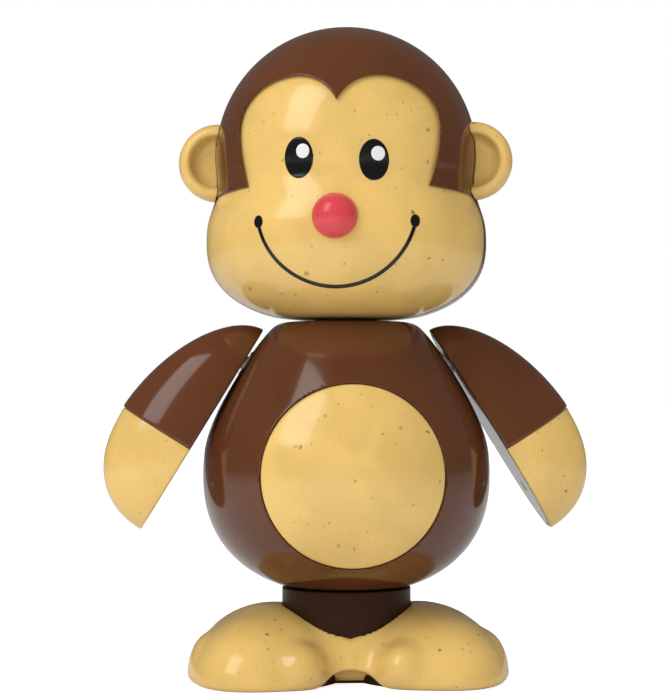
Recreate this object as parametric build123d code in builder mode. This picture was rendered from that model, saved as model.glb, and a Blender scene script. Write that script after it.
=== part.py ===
from build123d import *
import os
from math import acos, atan2, cos, degrees, pi, radians, sin, sqrt, tan

# Frame: millimetres, +Z up, the monkey looks along -Y, origin on the floor on the waist axis.

# ---- driving dimensions: head ----
HEAD_YAW = -7.8
HEAD_FLOOR_Z = 77.6
HEAD_FLOOR_R = 13.0
DOME_R = 28.7
DOME_Z = 113.4
HEAD_PARTING_Y = -5.0
HEAD_WALL = 2.0
HOOD_PROUD = 1.0
HOOD_EDGE_Z = 104.6
EAR_R = 8.7
EAR_X = 27.9
EAR_Z = 112.1
NOSE_R = 4.85
NOSE_Z = 98.3
NOSE_STEM_R = 2.4

# ---- driving dimensions: torso ----
TORSO_TOP_Z = 77.0
TORSO_TOP_R = 15.4
TORSO_FLOOR_Z = 19.6
TORSO_FLOOR_R = 12.0
TORSO_WALL = 2.0
BELLY_R = 19.2
BELLY_Z = 44.6
BELLY_THICK = 1.3
SEAM = 0.12

# ---- driving dimensions: arms ----
SHOULDER_X = 22.5
SHOULDER_Z = 68.6
ARM_TILT = 31.5
ARM_DEPTH = 0.62
ARM_WALL = 1.9
ARM_SEAM_U = 22.0
ARM_PLATE_THICK = 1.2
AXLE_R = 1.6
LEVER_REACH = 6.5
LEVER_SET_BACK = 15.0
LEVER_DEEP = 11.0
BALL_R = 1.2

# ---- driving dimensions: base ----
COLLAR_R = 14.1
COLLAR_BASE_Z = 5.0
COLLAR_TOP_Z = 19.2
HUB_R = 8.95
HUB_BORE_R = 9.0
SOLE_THICK = 1.8

# ---- driving dimensions: clockwork ----
MODULE = 0.5
PRESSURE_ANGLE = 25.0
BACKLASH = 0.12
GREAT_TEETH = 48
PINION_TEETH = 10
SECOND_TEETH = 28
CRANK_TEETH = 12
KEY_Z = 42.0
SECOND_ANGLE = 48.0
GOVERNOR_ANGLE = -62.0
CRANK_THROW = 3.2
FRONT_PLATE_Y = (-2.2, -1.0)
REAR_PLATE_Y = (9.4, 10.6)
SECOND_LAYER_Y = (0.0, 2.0)
GREAT_LAYER_Y = (2.8, 4.8)
YOKE_Y = (-6.9, -5.0)
PIVOT_R = 0.8
CRANK_TAIL_R = 0.6
SCREW_R = 1.1
SCREW_HEAD_R = 2.0

shoulder_frame = Location((SHOULDER_X, 0, SHOULDER_Z), (0, -ARM_TILT, 0))
head_turn = Location((0, 0, 0), (0, 0, HEAD_YAW))
left_side = Plane.YZ
seam_turn = radians(25)
turning_plane = Plane(
    origin=(0, 0, 0),
    x_dir=(cos(seam_turn), sin(seam_turn), 0),
    z_dir=(sin(seam_turn), -cos(seam_turn), 0),
)
finished = {}


def keep(name, piece):
    """Store a finished piece under its node name."""
    finished[name] = piece


def rod(radius, y_low, y_high, places):
    """Round rods along Y at the given (x, z) places."""
    with BuildPart() as rods:
        with BuildSketch(Plane.XZ.offset(-y_high)):
            with Locations(*places):
                Circle(radius)
        extrude(amount=y_high - y_low)
    return rods.part


def tube_z(outer, inner, z_low, z_high):
    """A ring or tube along Z."""
    with BuildPart() as ring:
        with BuildSketch(Plane.XY.offset(z_low)):
            Circle(outer)
            if inner > 0:
                Circle(inner, mode=Mode.SUBTRACT)
        extrude(amount=z_high - z_low)
    return ring.part


def half_space(y_low, y_high):
    """A block that spans the whole monkey between two Y planes."""
    with BuildPart() as block:
        with BuildSketch(Plane.XZ.offset(-y_high)):
            with Locations((0, 75)):
                Rectangle(160, 200)
        extrude(amount=y_high - y_low)
    return block.part


# ---------------------------------------------------------------- turned forms
def head_form(inset, dome_inset):
    """Solid head form: jowl below, dome above, each drawn in by its own inset."""
    dome = DOME_R - dome_inset
    join_z = 107.5
    join_r = sqrt(dome**2 - (DOME_Z - join_z) ** 2)
    with BuildPart() as form:
        with BuildSketch(turning_plane):
            with BuildLine():
                floor = Line((0, HEAD_FLOOR_Z + inset), (HEAD_FLOOR_R, HEAD_FLOOR_Z + inset))
                jowl = Spline(
                    floor @ 1,
                    (22.3 - inset * 0.7, 80.8 + inset * 0.7),
                    (28.1 - inset * 0.9, 85.9 + inset * 0.4),
                    (30.7 - inset, 94.8),
                    (29.3 - inset, 101.8),
                    (join_r, join_z),
                    tangents=((1, 0.12), (DOME_Z - join_z, join_r)),
                )
                dome_arc = CenterArc(
                    (0, DOME_Z), dome, -degrees(acos(join_r / dome)), 90 + degrees(acos(join_r / dome))
                )
                Line((0, DOME_Z + dome), (0, HEAD_FLOOR_Z + inset))
            make_face()
        revolve(axis=Axis.Z)
    return form.part


def torso_form(inset):
    """Solid torso form: flat top, conical shoulders parallel to the arm plates, round belly."""
    slope = tan(radians(ARM_TILT))
    cone_x = SHOULDER_X - 0.4 * cos(radians(ARM_TILT)) - inset * cos(radians(ARM_TILT))
    cone_z = SHOULDER_Z - 0.4 * sin(radians(ARM_TILT)) - inset * sin(radians(ARM_TILT))
    high = (cone_x - (74.6 - cone_z) * slope, 74.6)
    low = (cone_x + (cone_z - 61.0) * slope, 61.0)
    with BuildPart() as form:
        with BuildSketch(turning_plane):
            with BuildLine():
                floor = Line((0, TORSO_FLOOR_Z + inset), (TORSO_FLOOR_R - inset * 0.4, TORSO_FLOOR_Z + inset))
                belly = Spline(
                    floor @ 1,
                    (19.8 - inset * 0.7, 22.4 + inset * 0.7),
                    (25.9 - inset * 0.9, 27.7 + inset * 0.5),
                    (31.4 - inset, 43.6),
                    (29.9 - inset, 54.1),
                    low,
                    tangents=((1, 0.1), (-slope, 1)),
                )
                cone = Line(belly @ 1, high)
                rounding = Spline(
                    cone @ 1,
                    (TORSO_TOP_R - inset * 0.5, TORSO_TOP_Z - inset),
                    tangents=((-slope, 1), (-1, 0)),
                )
                roof = Line(rounding @ 1, (0, TORSO_TOP_Z - inset))
                Line(roof @ 1, floor @ 0)
            make_face()
        revolve(axis=Axis.Z)
    return form.part


def arm_form(inset, halved=True):
    """Egg hanging along -Z, or its +X half with a flat face on the YZ plane."""
    with BuildPart() as form:
        with BuildSketch(Plane(origin=(0, 0, 0), x_dir=(-1, 0, 0), z_dir=(0, 1, 0))):
            with BuildLine():
                outline = Spline(
                    (0, 8.0 - inset),
                    (9.1 - inset * 0.9, 2.15 - inset * 0.5),
                    (15.56 - inset, -12.1),
                    (17.1 - inset, -22.5),
                    (13.57 - inset * 0.9, -35.6 + inset * 0.4),
                    (7.3 - inset * 0.7, -41.6 + inset * 0.7),
                    (0, -42.9 + inset),
                    tangents=((1, 0.05), (-1, 0)),
                )
                Line(outline @ 1, outline @ 0)
            make_face()
        revolve(axis=Axis.Z)
        scale(by=(1, ARM_DEPTH, 1))
        if halved:
            split(bisect_by=Plane.YZ, keep=Keep.TOP)
    return form.part


# ---------------------------------------------------------------- gears
def involute(angle):
    """Involute function of a pressure angle in radians."""
    return tan(angle) - angle


def gear_outline(teeth, phase, centre):
    """Draw a closed spur gear outline with one tooth centred at phase degrees."""
    pitch_r = MODULE * teeth / 2
    base_r = pitch_r * cos(radians(PRESSURE_ANGLE))
    tip_r = pitch_r + 0.8 * MODULE
    root_r = pitch_r - 1.1 * MODULE
    start_r = max(base_r, root_r)
    half_pitch = pi / (2 * teeth) - BACKLASH / (4 * pitch_r)

    def half_width(radius):
        return half_pitch + involute(radians(PRESSURE_ANGLE)) - involute(acos(min(1.0, base_r / radius)))

    def at(radius, angle):
        return (centre[0] + radius * cos(angle), centre[1] + radius * sin(angle))

    middle_r = (start_r + tip_r) / 2
    for tooth in range(teeth):
        axis = radians(phase) + 2 * pi * tooth / teeth
        following = axis + 2 * pi / teeth
        if root_r < start_r:
            Line(at(root_r, axis - half_width(start_r)), at(start_r, axis - half_width(start_r)))
        ThreePointArc(
            at(start_r, axis - half_width(start_r)),
            at(middle_r, axis - half_width(middle_r)),
            at(tip_r, axis - half_width(tip_r)),
        )
        ThreePointArc(at(tip_r, axis - half_width(tip_r)), at(tip_r, axis), at(tip_r, axis + half_width(tip_r)))
        ThreePointArc(
            at(tip_r, axis + half_width(tip_r)),
            at(middle_r, axis + half_width(middle_r)),
            at(start_r, axis + half_width(start_r)),
        )
        if root_r < start_r:
            Line(at(start_r, axis + half_width(start_r)), at(root_r, axis + half_width(start_r)))
        ThreePointArc(
            at(root_r, axis + half_width(start_r)),
            at(root_r, axis + pi / teeth),
            at(root_r, following - half_width(start_r)),
        )


def gear(teeth, phase, centre, layer):
    """Spur gear along Y between the two planes of its layer."""
    with BuildPart() as wheel:
        with BuildSketch(Plane.XZ.offset(-layer[1])):
            with BuildLine():
                gear_outline(teeth, phase, centre)
            make_face()
        extrude(amount=layer[1] - layer[0])
    return wheel.part


def meshing_phase(teeth, phase, centre, other_teeth, other_centre):
    """Phase of the second gear so that a gap of it meets the first gear's tooth."""
    line = degrees(atan2(other_centre[1] - centre[1], other_centre[0] - centre[0]))
    pitch = 360 / teeth
    offset = (phase - line + pitch / 2) % pitch - pitch / 2
    return line + 180 - offset * teeth / other_teeth + 180 / other_teeth


def polar(centre, distance, angle):
    """Point at a distance and angle from a centre in the XZ plane."""
    return (centre[0] + distance * cos(radians(angle)), centre[1] + distance * sin(radians(angle)))


# ================================================================ base
def lobe(semi_axes, centre, pole, seam):
    """Ellipsoid of the right foot, its poles and seam turned to where other lobes or the floor hide them."""
    ball = Sphere(1).moved(Location(Plane(origin=(0, 0, 0), x_dir=seam, z_dir=pole)))
    return scale(ball, by=semi_axes).moved(Location(centre))


right_lobes = [
    lobe((18.5, 25.0, 16.0), (16.0, 0, 0), (-0.94, 0, 0.342), (-0.342, 0, -0.94)),
    lobe((14.0, 20.5, 14.0), (0, 0, 0), (-0.94, 0, 0.342), (-0.342, 0, -0.94)),
    lobe((5.5, 6.2, 5.5), (10.9, -19.6, 4.4), (0, 0.5, 0.866), (0, 0.866, -0.5)),
    lobe((7.4, 8.2, 7.6), (23.6, -18.0, 4.6), (0, 0.707, 0.707), (0, 0.707, -0.707)),
    lobe((5.0, 7.4, 6.4), (30.0, -9.5, 4.2), (-0.643, 0, 0.766), (-0.766, 0, -0.643)),
]
base_screw_places = [(24, 8), (-24, 8), (24, -11), (-24, -11)]


def sole_outline(grow):
    """Plan outline of the sole plate, drawn in the current sketch."""
    with Locations((16, 0), (-16, 0)):
        Ellipse(15.6 + grow, 21.6 + grow)
    Rectangle(24, 24 + 2 * grow)


with BuildPart() as right_foot:
    for paw in right_lobes:
        add(paw)
    with BuildSketch():
        with Locations((40, 0)):
            Rectangle(80, 120)
    extrude(amount=40, mode=Mode.INTERSECT)

with BuildPart() as feet_form:
    add(right_foot.part)
    mirror(about=Plane.YZ)

with BuildPart() as feet_hollows:
    with BuildSketch(Plane.XY.offset(SOLE_THICK)):
        with Locations((16, 0), (-16, 0)):
            Ellipse(12.6, 18.0)
    extrude(amount=7.4)

with BuildPart() as feet_core:
    with BuildSketch(Plane.XY.offset(COLLAR_BASE_Z - 2.4)):
        Circle(COLLAR_R + 2.0)
    extrude(amount=20)
    with BuildSketch(Plane.XY.offset(SOLE_THICK)):
        with Locations(*base_screw_places):
            Circle(2.6)
    extrude(amount=20)
    add(feet_form.part, mode=Mode.INTERSECT)

with BuildPart() as feet_moulding:
    add(feet_form.part)
    add(feet_hollows.part, mode=Mode.SUBTRACT)
    add(feet_core.part)
    with BuildSketch(Plane.XY.offset(COLLAR_BASE_Z)):
        Circle(COLLAR_R + 0.03)
    extrude(amount=20, mode=Mode.SUBTRACT)
    with BuildSketch(Plane.XY.offset(-1)):
        sole_outline(0.1)
    extrude(amount=SOLE_THICK + 1, mode=Mode.SUBTRACT)
    with BuildSketch(Plane.XY.offset(SOLE_THICK)):
        with Locations(*base_screw_places):
            Circle(SCREW_R - 0.1)
    extrude(amount=5.5, mode=Mode.SUBTRACT)
    with BuildSketch(Plane.XY.offset(-1)):
        Circle(HUB_BORE_R + 2.2)
    extrude(amount=COLLAR_BASE_Z + 1.5, mode=Mode.SUBTRACT)
keep("feet_moulding", feet_moulding.part)

with BuildPart() as base_plate:
    with BuildSketch():
        sole_outline(0)
    extrude(amount=SOLE_THICK)
    with BuildSketch(Plane.XY.offset(0)):
        with Locations(*base_screw_places):
            Circle(SCREW_HEAD_R + 0.1)
    extrude(amount=1.0, mode=Mode.SUBTRACT)
    with BuildSketch(Plane.XY.offset(0)):
        with Locations(*base_screw_places):
            Circle(SCREW_R + 0.1)
    extrude(amount=SOLE_THICK, mode=Mode.SUBTRACT)
keep("base_plate", base_plate.part)

with BuildPart() as base_screws:
    with BuildSketch(Plane.XY.offset(0.1)):
        with Locations(*base_screw_places):
            Circle(SCREW_HEAD_R)
    extrude(amount=0.9)
    with BuildSketch(Plane.XY.offset(1.0)):
        with Locations(*base_screw_places):
            Circle(SCREW_R - 0.1)
    extrude(amount=5.5)
keep("base_screws", base_screws.part)

with BuildPart() as waist_collar:
    add(tube_z(COLLAR_R, 11.9, COLLAR_BASE_Z, COLLAR_TOP_Z))
    add(tube_z(12.5, HUB_BORE_R, COLLAR_TOP_Z - 2.2, COLLAR_TOP_Z))
keep("waist_collar", waist_collar.part)

with BuildPart() as waist_hub:
    add(tube_z(10.8, 4.5, COLLAR_TOP_Z - 4.4, COLLAR_TOP_Z - 2.25))
    add(tube_z(HUB_R, 4.5, COLLAR_TOP_Z - 2.25, TORSO_FLOOR_Z))
    add(tube_z(6.9, 4.5, TORSO_FLOOR_Z, TORSO_FLOOR_Z + TORSO_WALL + 0.05))
    add(tube_z(8.6, 4.5, TORSO_FLOOR_Z + TORSO_WALL + 0.05, TORSO_FLOOR_Z + TORSO_WALL + 1.6))
keep("waist_hub", waist_hub.part)


# ================================================================ torso
torso_skin = torso_form(0)
torso_cavity = torso_form(TORSO_WALL)
torso_screw_places = [(-18.0, 26.5), (18.0, 26.5), (-21.5, 56.5), (21.5, 56.5)]
winding_centre = (0.0, KEY_Z)
second_centre = polar(winding_centre, MODULE * (GREAT_TEETH + PINION_TEETH) / 2, SECOND_ANGLE)
governor_centre = polar(second_centre, MODULE * (SECOND_TEETH + PINION_TEETH) / 2, GOVERNOR_ANGLE)
crank_drop = sqrt((MODULE * (SECOND_TEETH + CRANK_TEETH) / 2) ** 2 - second_centre[0] ** 2)
crank_centre = (0.0, second_centre[1] + crank_drop)
pillar_places = [(-14.0, 31.5), (16.0, 32.5), (-14.0, 55.0), (19.8, 46.0)]


def shoulder_rod(radius, near, far):
    """Round rod on the right arm's axis, between two distances from the plate (outward positive)."""
    with BuildPart() as axle_rod:
        with BuildSketch(Plane.YZ.offset(near)):
            Circle(radius)
        extrude(amount=far - near)
    return axle_rod.part.moved(shoulder_frame)


def both_sides(piece):
    """A right-hand piece and its mirror image as one compound of two solids."""
    return Compound(children=[piece, mirror(piece, about=left_side)])


right_bush_seat = shoulder_rod(3.0, -6.0, 3.0)
torso_walls = torso_skin - torso_cavity
for seat in (right_bush_seat, mirror(right_bush_seat, about=left_side)):
    torso_walls = torso_walls - seat
torso_walls = torso_walls - tube_z(6.95, 0, TORSO_FLOOR_Z - 1, TORSO_FLOOR_Z + 4)
torso_walls = torso_walls - tube_z(6.95, 0, TORSO_TOP_Z - 4, TORSO_TOP_Z + 1)
belly_zone = rod(BELLY_R, -60, -5, [(0, BELLY_Z)])
belly_pocket = rod(BELLY_R + SEAM, -60, -5, [(0, BELLY_Z)]) - torso_form(BELLY_THICK + 0.05)
key_hole = rod(3.2, 12, 40, [winding_centre])
screw_bosses = rod(2.8, -40, 40, torso_screw_places) & torso_cavity
front_half = half_space(-60, 0)
rear_half = half_space(0, 60)

body_front = (torso_walls & front_half) - belly_pocket
body_front = body_front + (screw_bosses & front_half)
body_front = body_front - rod(SCREW_R - 0.1, -7, 1, torso_screw_places)
keep("body_front_shell", body_front)

body_rear = (torso_walls & rear_half) + (screw_bosses & rear_half) - key_hole
motor_bosses = rod(2.2, REAR_PLATE_Y[1], 40, pillar_places) & torso_cavity
body_rear = body_rear + motor_bosses
body_rear = body_rear - rod(SCREW_R + 0.1, -1, 40, torso_screw_places)
body_rear = body_rear - rod(SCREW_HEAD_R + 0.2, 9, 40, torso_screw_places)
body_rear = body_rear - rod(0.9, REAR_PLATE_Y[1] - 1, REAR_PLATE_Y[1] + 4, pillar_places)
keep("body_rear_shell", body_rear)

torso_screws = rod(SCREW_R - 0.1, -6.5, 9, torso_screw_places) + rod(SCREW_HEAD_R, 9, 10.6, torso_screw_places)
keep("torso_screws", torso_screws)

belly_disc = (torso_skin & belly_zone) - torso_form(BELLY_THICK)
keep("belly_disc", belly_disc)

right_bush = shoulder_rod(2.95, -5.2, -0.25) + shoulder_rod(4.0, -5.2, -3.2)
right_bush = right_bush - shoulder_rod(AXLE_R + 0.05, -8, 2)
keep("shoulder_bushes", both_sides(right_bush))

with BuildPart() as neck_hub:
    add(tube_z(8.8, 4.0, TORSO_TOP_Z - TORSO_WALL - 1.6, TORSO_TOP_Z - TORSO_WALL - 0.05))
    add(tube_z(6.9, 4.0, TORSO_TOP_Z - TORSO_WALL - 0.05, HEAD_FLOOR_Z + HEAD_WALL + 0.2))
    add(tube_z(5.6, 4.0, HEAD_FLOOR_Z + HEAD_WALL + 0.2, HEAD_FLOOR_Z + HEAD_WALL + 3.0))
keep("neck_hub", neck_hub.part)

with BuildPart() as neck_clip:
    add(tube_z(9.6, 5.6, HEAD_FLOOR_Z + HEAD_WALL + 0.2, HEAD_FLOOR_Z + HEAD_WALL + 1.7))
keep("neck_clip", neck_clip.part)


# ================================================================ clockwork frame
def plate_outline():
    """Outline of a motor plate: a wide body with a narrow tab for the crank bearing."""
    with Locations((1.0, 43.6)):
        RectangleRounded(35.0, 27.6, 3.0)
    with Locations(pillar_places[3]):
        Circle(3.0)
    with Locations((0, 56.5)):
        RectangleRounded(12.0, 9.0, 2.0)


train_places = [winding_centre, second_centre, governor_centre, crank_centre]


def motor_plate(layer, crank_bore):
    """One motor plate with its bearing holes and pillar holes."""
    with BuildPart() as plate:
        with BuildSketch(Plane.XZ.offset(-layer[1])):
            plate_outline()
        extrude(amount=layer[1] - layer[0])
    piece = plate.part - rod(0.9, layer[0] - 1, layer[1] + 1, pillar_places)
    piece = piece - rod(PIVOT_R + 0.05, layer[0] - 1, layer[1] + 1, train_places[1:3])
    piece = piece - rod(crank_bore, layer[0] - 1, layer[1] + 1, [crank_centre])
    return piece - rod(1.9, layer[0] - 1, layer[1] + 1, [winding_centre])


guide_places = [(0.0, 47.6), (0.0, 37.0)]
front_plate = motor_plate(FRONT_PLATE_Y, 1.25) + rod(1.0, -7.6, FRONT_PLATE_Y[0], guide_places)
keep("motor_front_plate", front_plate)
keep("motor_rear_plate", motor_plate(REAR_PLATE_Y, CRANK_TAIL_R + 0.05))
pillars = rod(2.2, FRONT_PLATE_Y[1], REAR_PLATE_Y[0], pillar_places)
keep("motor_pillars", pillars - rod(0.9, -5, 20, pillar_places))
motor_screws = rod(0.85, FRONT_PLATE_Y[0], REAR_PLATE_Y[1] + 3.5, pillar_places)
keep("motor_screws", motor_screws + rod(1.8, FRONT_PLATE_Y[0] - 1.2, FRONT_PLATE_Y[0], pillar_places))


# ================================================================ clockwork train
great_phase = 0.0
second_pinion_phase = meshing_phase(GREAT_TEETH, great_phase, winding_centre, PINION_TEETH, second_centre)
second_phase = 0.0
governor_phase = meshing_phase(SECOND_TEETH, second_phase, second_centre, PINION_TEETH, governor_centre)
crank_phase = meshing_phase(SECOND_TEETH, second_phase, second_centre, CRANK_TEETH, crank_centre)

great_wheel = gear(GREAT_TEETH, great_phase, winding_centre, GREAT_LAYER_Y)
great_wheel = great_wheel - rod(2.5, -1, 9, [polar(winding_centre, 7.5, turn) for turn in range(0, 360, 60)])
keep("great_wheel", great_wheel - rod(1.8, 0, 9, [winding_centre]))

arbor = rod(1.8, FRONT_PLATE_Y[0] - 0.4, 34.0, [winding_centre])
keep("winding_arbor", arbor)

with BuildPart() as winding_key:
    with BuildSketch(Plane.XY.offset(KEY_Z - 1.6)):
        with Locations((-6.3, 42.6), (6.3, 42.6)):
            Circle(6.2)
        with Locations((0, 40.6)):
            Rectangle(5.6, 8.0)
        with Locations((-6.6, 42.6), (6.6, 42.6)):
            Circle(2.9, mode=Mode.SUBTRACT)
    extrude(amount=3.2)
    add(rod(3.0, 29.2, 40.0, [winding_centre]))
    add(rod(1.8, 20.0, 34.0, [winding_centre]), mode=Mode.SUBTRACT)
keep("winding_key", winding_key.part)

second_wheel = gear(SECOND_TEETH, second_phase, second_centre, SECOND_LAYER_Y)
second_wheel = second_wheel - rod(1.3, -1, 3, [polar(second_centre, 4.6, turn) for turn in range(0, 360, 72)])
second_wheel = second_wheel + gear(PINION_TEETH, second_pinion_phase, second_centre, (2.0, 5.2))
keep("second_wheel", second_wheel + rod(PIVOT_R, FRONT_PLATE_Y[0] - 0.3, REAR_PLATE_Y[1] + 0.3, [second_centre]))

governor = gear(PINION_TEETH, governor_phase, governor_centre, (-0.2, 2.4))
governor = governor + rod(PIVOT_R, FRONT_PLATE_Y[0] - 0.3, REAR_PLATE_Y[1] + 0.3, [governor_centre])
fly = rod(3.6, 6.0, 7.6, [governor_centre]) + rod(1.4, 2.4, 6.0, [governor_centre])
keep("governor", governor + fly)

crank_gear = gear(CRANK_TEETH, crank_phase, crank_centre, (-0.2, 2.4))
crank_gear = crank_gear + rod(1.2, FRONT_PLATE_Y[0] - 0.4, 2.4, [crank_centre])
crank_gear = crank_gear + rod(CRANK_TAIL_R, 2.4, REAR_PLATE_Y[1] + 0.4, [crank_centre])
keep("crank_gear", crank_gear)

lever_rest = sin(radians(LEVER_SET_BACK))
vertical_reach = LEVER_REACH * cos(radians(ARM_TILT))
yoke_rest = -vertical_reach * lever_rest
crank_rest = degrees(atan2(yoke_rest, sqrt(CRANK_THROW**2 - yoke_rest**2)))
crank_disc = rod(4.9, -4.4, FRONT_PLATE_Y[0] - 0.4, [crank_centre])
crank_disc = crank_disc + rod(1.1, YOKE_Y[1] + 0.3, -4.4, [polar(crank_centre, CRANK_THROW, crank_rest)])
keep("crank_disc", crank_disc)


def spiral(centre, first_r, turns, pitch, thickness, layer):
    """Flat spiral strip made of half rings whose centres alternate."""
    with BuildPart() as coil:
        for half in range(2 * turns):
            radius = first_r + half * pitch / 2
            shift = pitch / 4 if half % 2 else -pitch / 4
            start = 0 if half % 2 else 180
            x, z = centre[0] + shift, centre[1]
            with BuildSketch(Plane.XZ.offset(-layer[1])):
                with BuildLine():
                    outer = CenterArc((x, z), radius + thickness / 2, start, 180)
                    inner = CenterArc((x, z), radius - thickness / 2, start, 180)
                    Line(outer @ 0, inner @ 0)
                    Line(outer @ 1, inner @ 1)
                make_face()
            extrude(amount=layer[1] - layer[0])
    return coil.part


keep("mainspring", spiral(winding_centre, 2.6, 5, 1.1, 0.5, (5.3, 8.9)))

# ---- drive yoke, drawn at mid stroke and then lowered to its rest height ----
lever_root = (shoulder_frame * Location((-LEVER_DEEP, 0, 0))).position
with BuildPart() as drive_yoke:
    with BuildSketch(Plane.XZ.offset(-YOKE_Y[1])):
        with Locations((0, 59.05)):
            RectangleRounded(35.8, 12.5, 2.0)
        with Locations((0, 43.6)):
            RectangleRounded(6.4, 27.2, 1.5)
        with Locations((lever_root.X, lever_root.Z), (-lever_root.X, lever_root.Z)):
            SlotOverall(8.4, 2 * BALL_R + 0.5, mode=Mode.SUBTRACT)
        with Locations((0, crank_centre[1])):
            SlotOverall(2 * CRANK_THROW + 3.0, 2.6, mode=Mode.SUBTRACT)
        with Locations((0, 42.3)):
            SlotOverall(19.6, 2.2, rotation=90, mode=Mode.SUBTRACT)
    extrude(amount=YOKE_Y[1] - YOKE_Y[0])
keep("drive_yoke", drive_yoke.part.moved(Location((0, 0, yoke_rest))))


# ================================================================ arms, drawn for the right side
arm_skin = arm_form(0)
arm_cavity = arm_form(ARM_WALL, halved=False)
sleeve_skin = arm_form(-0.3)


def arm_slab(x_low, x_high, z_low, z_high):
    """Block in the arm's own frame."""
    with BuildPart() as slab:
        with BuildSketch(Plane.YZ.offset(x_low)):
            with Locations((0, (z_low + z_high) / 2)):
                Rectangle(60, z_high - z_low)
        extrude(amount=x_high - x_low)
    return slab.part


def arm_rod(radius, near, far, z=0.0):
    """Round rod along the arm's own X axis."""
    with BuildPart() as post:
        with BuildSketch(Plane.YZ.offset(near)):
            with Locations((0, z)):
                Circle(radius)
        extrude(amount=far - near)
    return post.part


plate_zone = arm_slab(-1, ARM_PLATE_THICK + 0.02, -60, 20)
inner_plate = (arm_form(1.0) & arm_slab(0, ARM_PLATE_THICK, -60, 20)) - arm_rod(AXLE_R + 0.6, -1, 3)
inner_plate = inner_plate - arm_rod(SCREW_R, -1, 3, -32.0)
plate_pocket = arm_form(0.95) & plate_zone
upper_arm = (sleeve_skin & arm_slab(-1, 30, -ARM_SEAM_U, 20)) - arm_cavity
upper_arm = upper_arm - plate_pocket
arm_boss = arm_rod(3.4, ARM_PLATE_THICK + 0.02, 30) & arm_cavity
upper_arm = (upper_arm + arm_boss) - arm_rod(AXLE_R + 0.6, -1, 3.0) - arm_rod(AXLE_R, 2.0, 9.0)
hand = (arm_skin & arm_slab(-1, 30, -60, -ARM_SEAM_U)) - arm_cavity
hand = hand - plate_pocket
hand = hand + (arm_rod(2.6, ARM_PLATE_THICK + 0.02, 30, -32.0) & arm_cavity)
hand = hand - arm_rod(SCREW_R - 0.1, 0, 8.0, -32.0)
screw = arm_rod(SCREW_R - 0.1, 0.1, 7.5, -32.0)

with BuildPart() as ball:
    Sphere(BALL_R)
with BuildPart() as lever_bar:
    with BuildSketch(Plane.XZ):
        Circle(0.6)
    extrude(amount=LEVER_REACH)
lever = lever_bar.part + ball.part.moved(Location((0, -LEVER_REACH, 0)))
with BuildPart() as lever_body:
    with BuildSketch(Plane.XZ):
        Circle(1.0)
    extrude(amount=LEVER_REACH - 2.6)
lever = lever + lever_body.part
lever = lever.rotate(Axis.X, LEVER_SET_BACK).moved(Location((-LEVER_DEEP, 0, 0)))
axle = arm_rod(AXLE_R, -LEVER_DEEP - 1.2, 8.9) + arm_rod(2.2, -LEVER_DEEP - 1.2, -LEVER_DEEP + 1.2) + lever

for name, piece in (
    ("upper_arm", upper_arm),
    ("hand", hand),
    ("arm_plate", inner_plate),
    ("arm_axle", axle),
    ("arm_screw", screw),
):
    right_piece = piece.moved(shoulder_frame)
    keep(name + "_right", right_piece)
    keep(name + "_left", mirror(right_piece, about=left_side))


# ================================================================ head, drawn facing -Y and then turned
head_skin = head_form(0, 0)
face_skin = head_form(0, HOOD_PROUD)
head_cavity = head_form(HEAD_WALL, HEAD_WALL + HOOD_PROUD)
hood_cavity = head_form(HEAD_WALL, HEAD_WALL)


def heart_window(grow):
    """Front outline of the face opening: two brow lobes and a V notch, extruded from front to parting."""
    with BuildPart() as window:
        with BuildSketch(Plane.XZ.offset(-HEAD_PARTING_Y)):
            with BuildLine():
                lobe = ThreePointArc((0, 122.6), (3.7, 126.6), (8.9, 128.4 + grow))
                temple = ThreePointArc(lobe @ 1, (17.9 + grow, 125.2 + grow), (21.2 + grow, 118.0))
                cheek = ThreePointArc(temple @ 1, (20.9 + grow, 111.0), (18.8 + grow, HOOD_EDGE_Z + 0.6))
                Line(cheek @ 1, (0, HOOD_EDGE_Z + 0.6))
                Line((0, HOOD_EDGE_Z + 0.6), (0, 122.6))
            make_face()
            mirror(about=Plane.YZ)
        extrude(amount=60)
    return window.part


def below_hood():
    """Everything below the hood's lower edge, in front of the parting."""
    with BuildPart() as lower:
        with BuildSketch(Plane.XZ.offset(-HEAD_PARTING_Y)):
            with BuildLine():
                Polyline(
                    (-60, 60),
                    (60, 60),
                    (60, HOOD_EDGE_Z - 2.2),
                    (18.8, HOOD_EDGE_Z + 0.6),
                    (-18.8, HOOD_EDGE_Z + 0.6),
                    (-60, HOOD_EDGE_Z - 2.2),
                    close=True,
                )
            make_face()
        extrude(amount=60)
    return lower.part


front_head = half_space(-60, HEAD_PARTING_Y)
rear_head = half_space(HEAD_PARTING_Y, 60)
face_window = heart_window(0) + below_hood()
neck_hole = tube_z(7.0, 0, HEAD_FLOOR_Z - 1, HEAD_FLOOR_Z + HEAD_WALL + 1)
head_screw_places = [(0.0, 135.5), (-17.5, 87.5), (17.5, 87.5)]

with BuildPart() as ear_blank:
    with BuildSketch(Plane.XZ.offset(-(HEAD_PARTING_Y + 3.4))):
        with Locations((EAR_X, EAR_Z)):
            Circle(EAR_R)
    extrude(amount=6.8)
    fillet(ear_blank.edges().filter_by(GeomType.CIRCLE), 3.0)
ear_dish = rod(5.2, -60, HEAD_PARTING_Y + 0.6, [(EAR_X, EAR_Z)])
ear_tenon = rod(2.6, HEAD_PARTING_Y - 2.6, HEAD_PARTING_Y + 2.6, [(EAR_X - 2.6, EAR_Z)])
with BuildPart() as tenon_block:
    with BuildSketch(Plane.XZ.offset(-(HEAD_PARTING_Y + 2.0))):
        with Locations((EAR_X - 2.0, EAR_Z)):
            Rectangle(6.0, 6.0)
    extrude(amount=4.0)
ear_right = (ear_blank.part - ear_dish) - head_form(-0.05, -0.05) + tenon_block.part
ear_left = mirror(ear_right, about=left_side)
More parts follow.
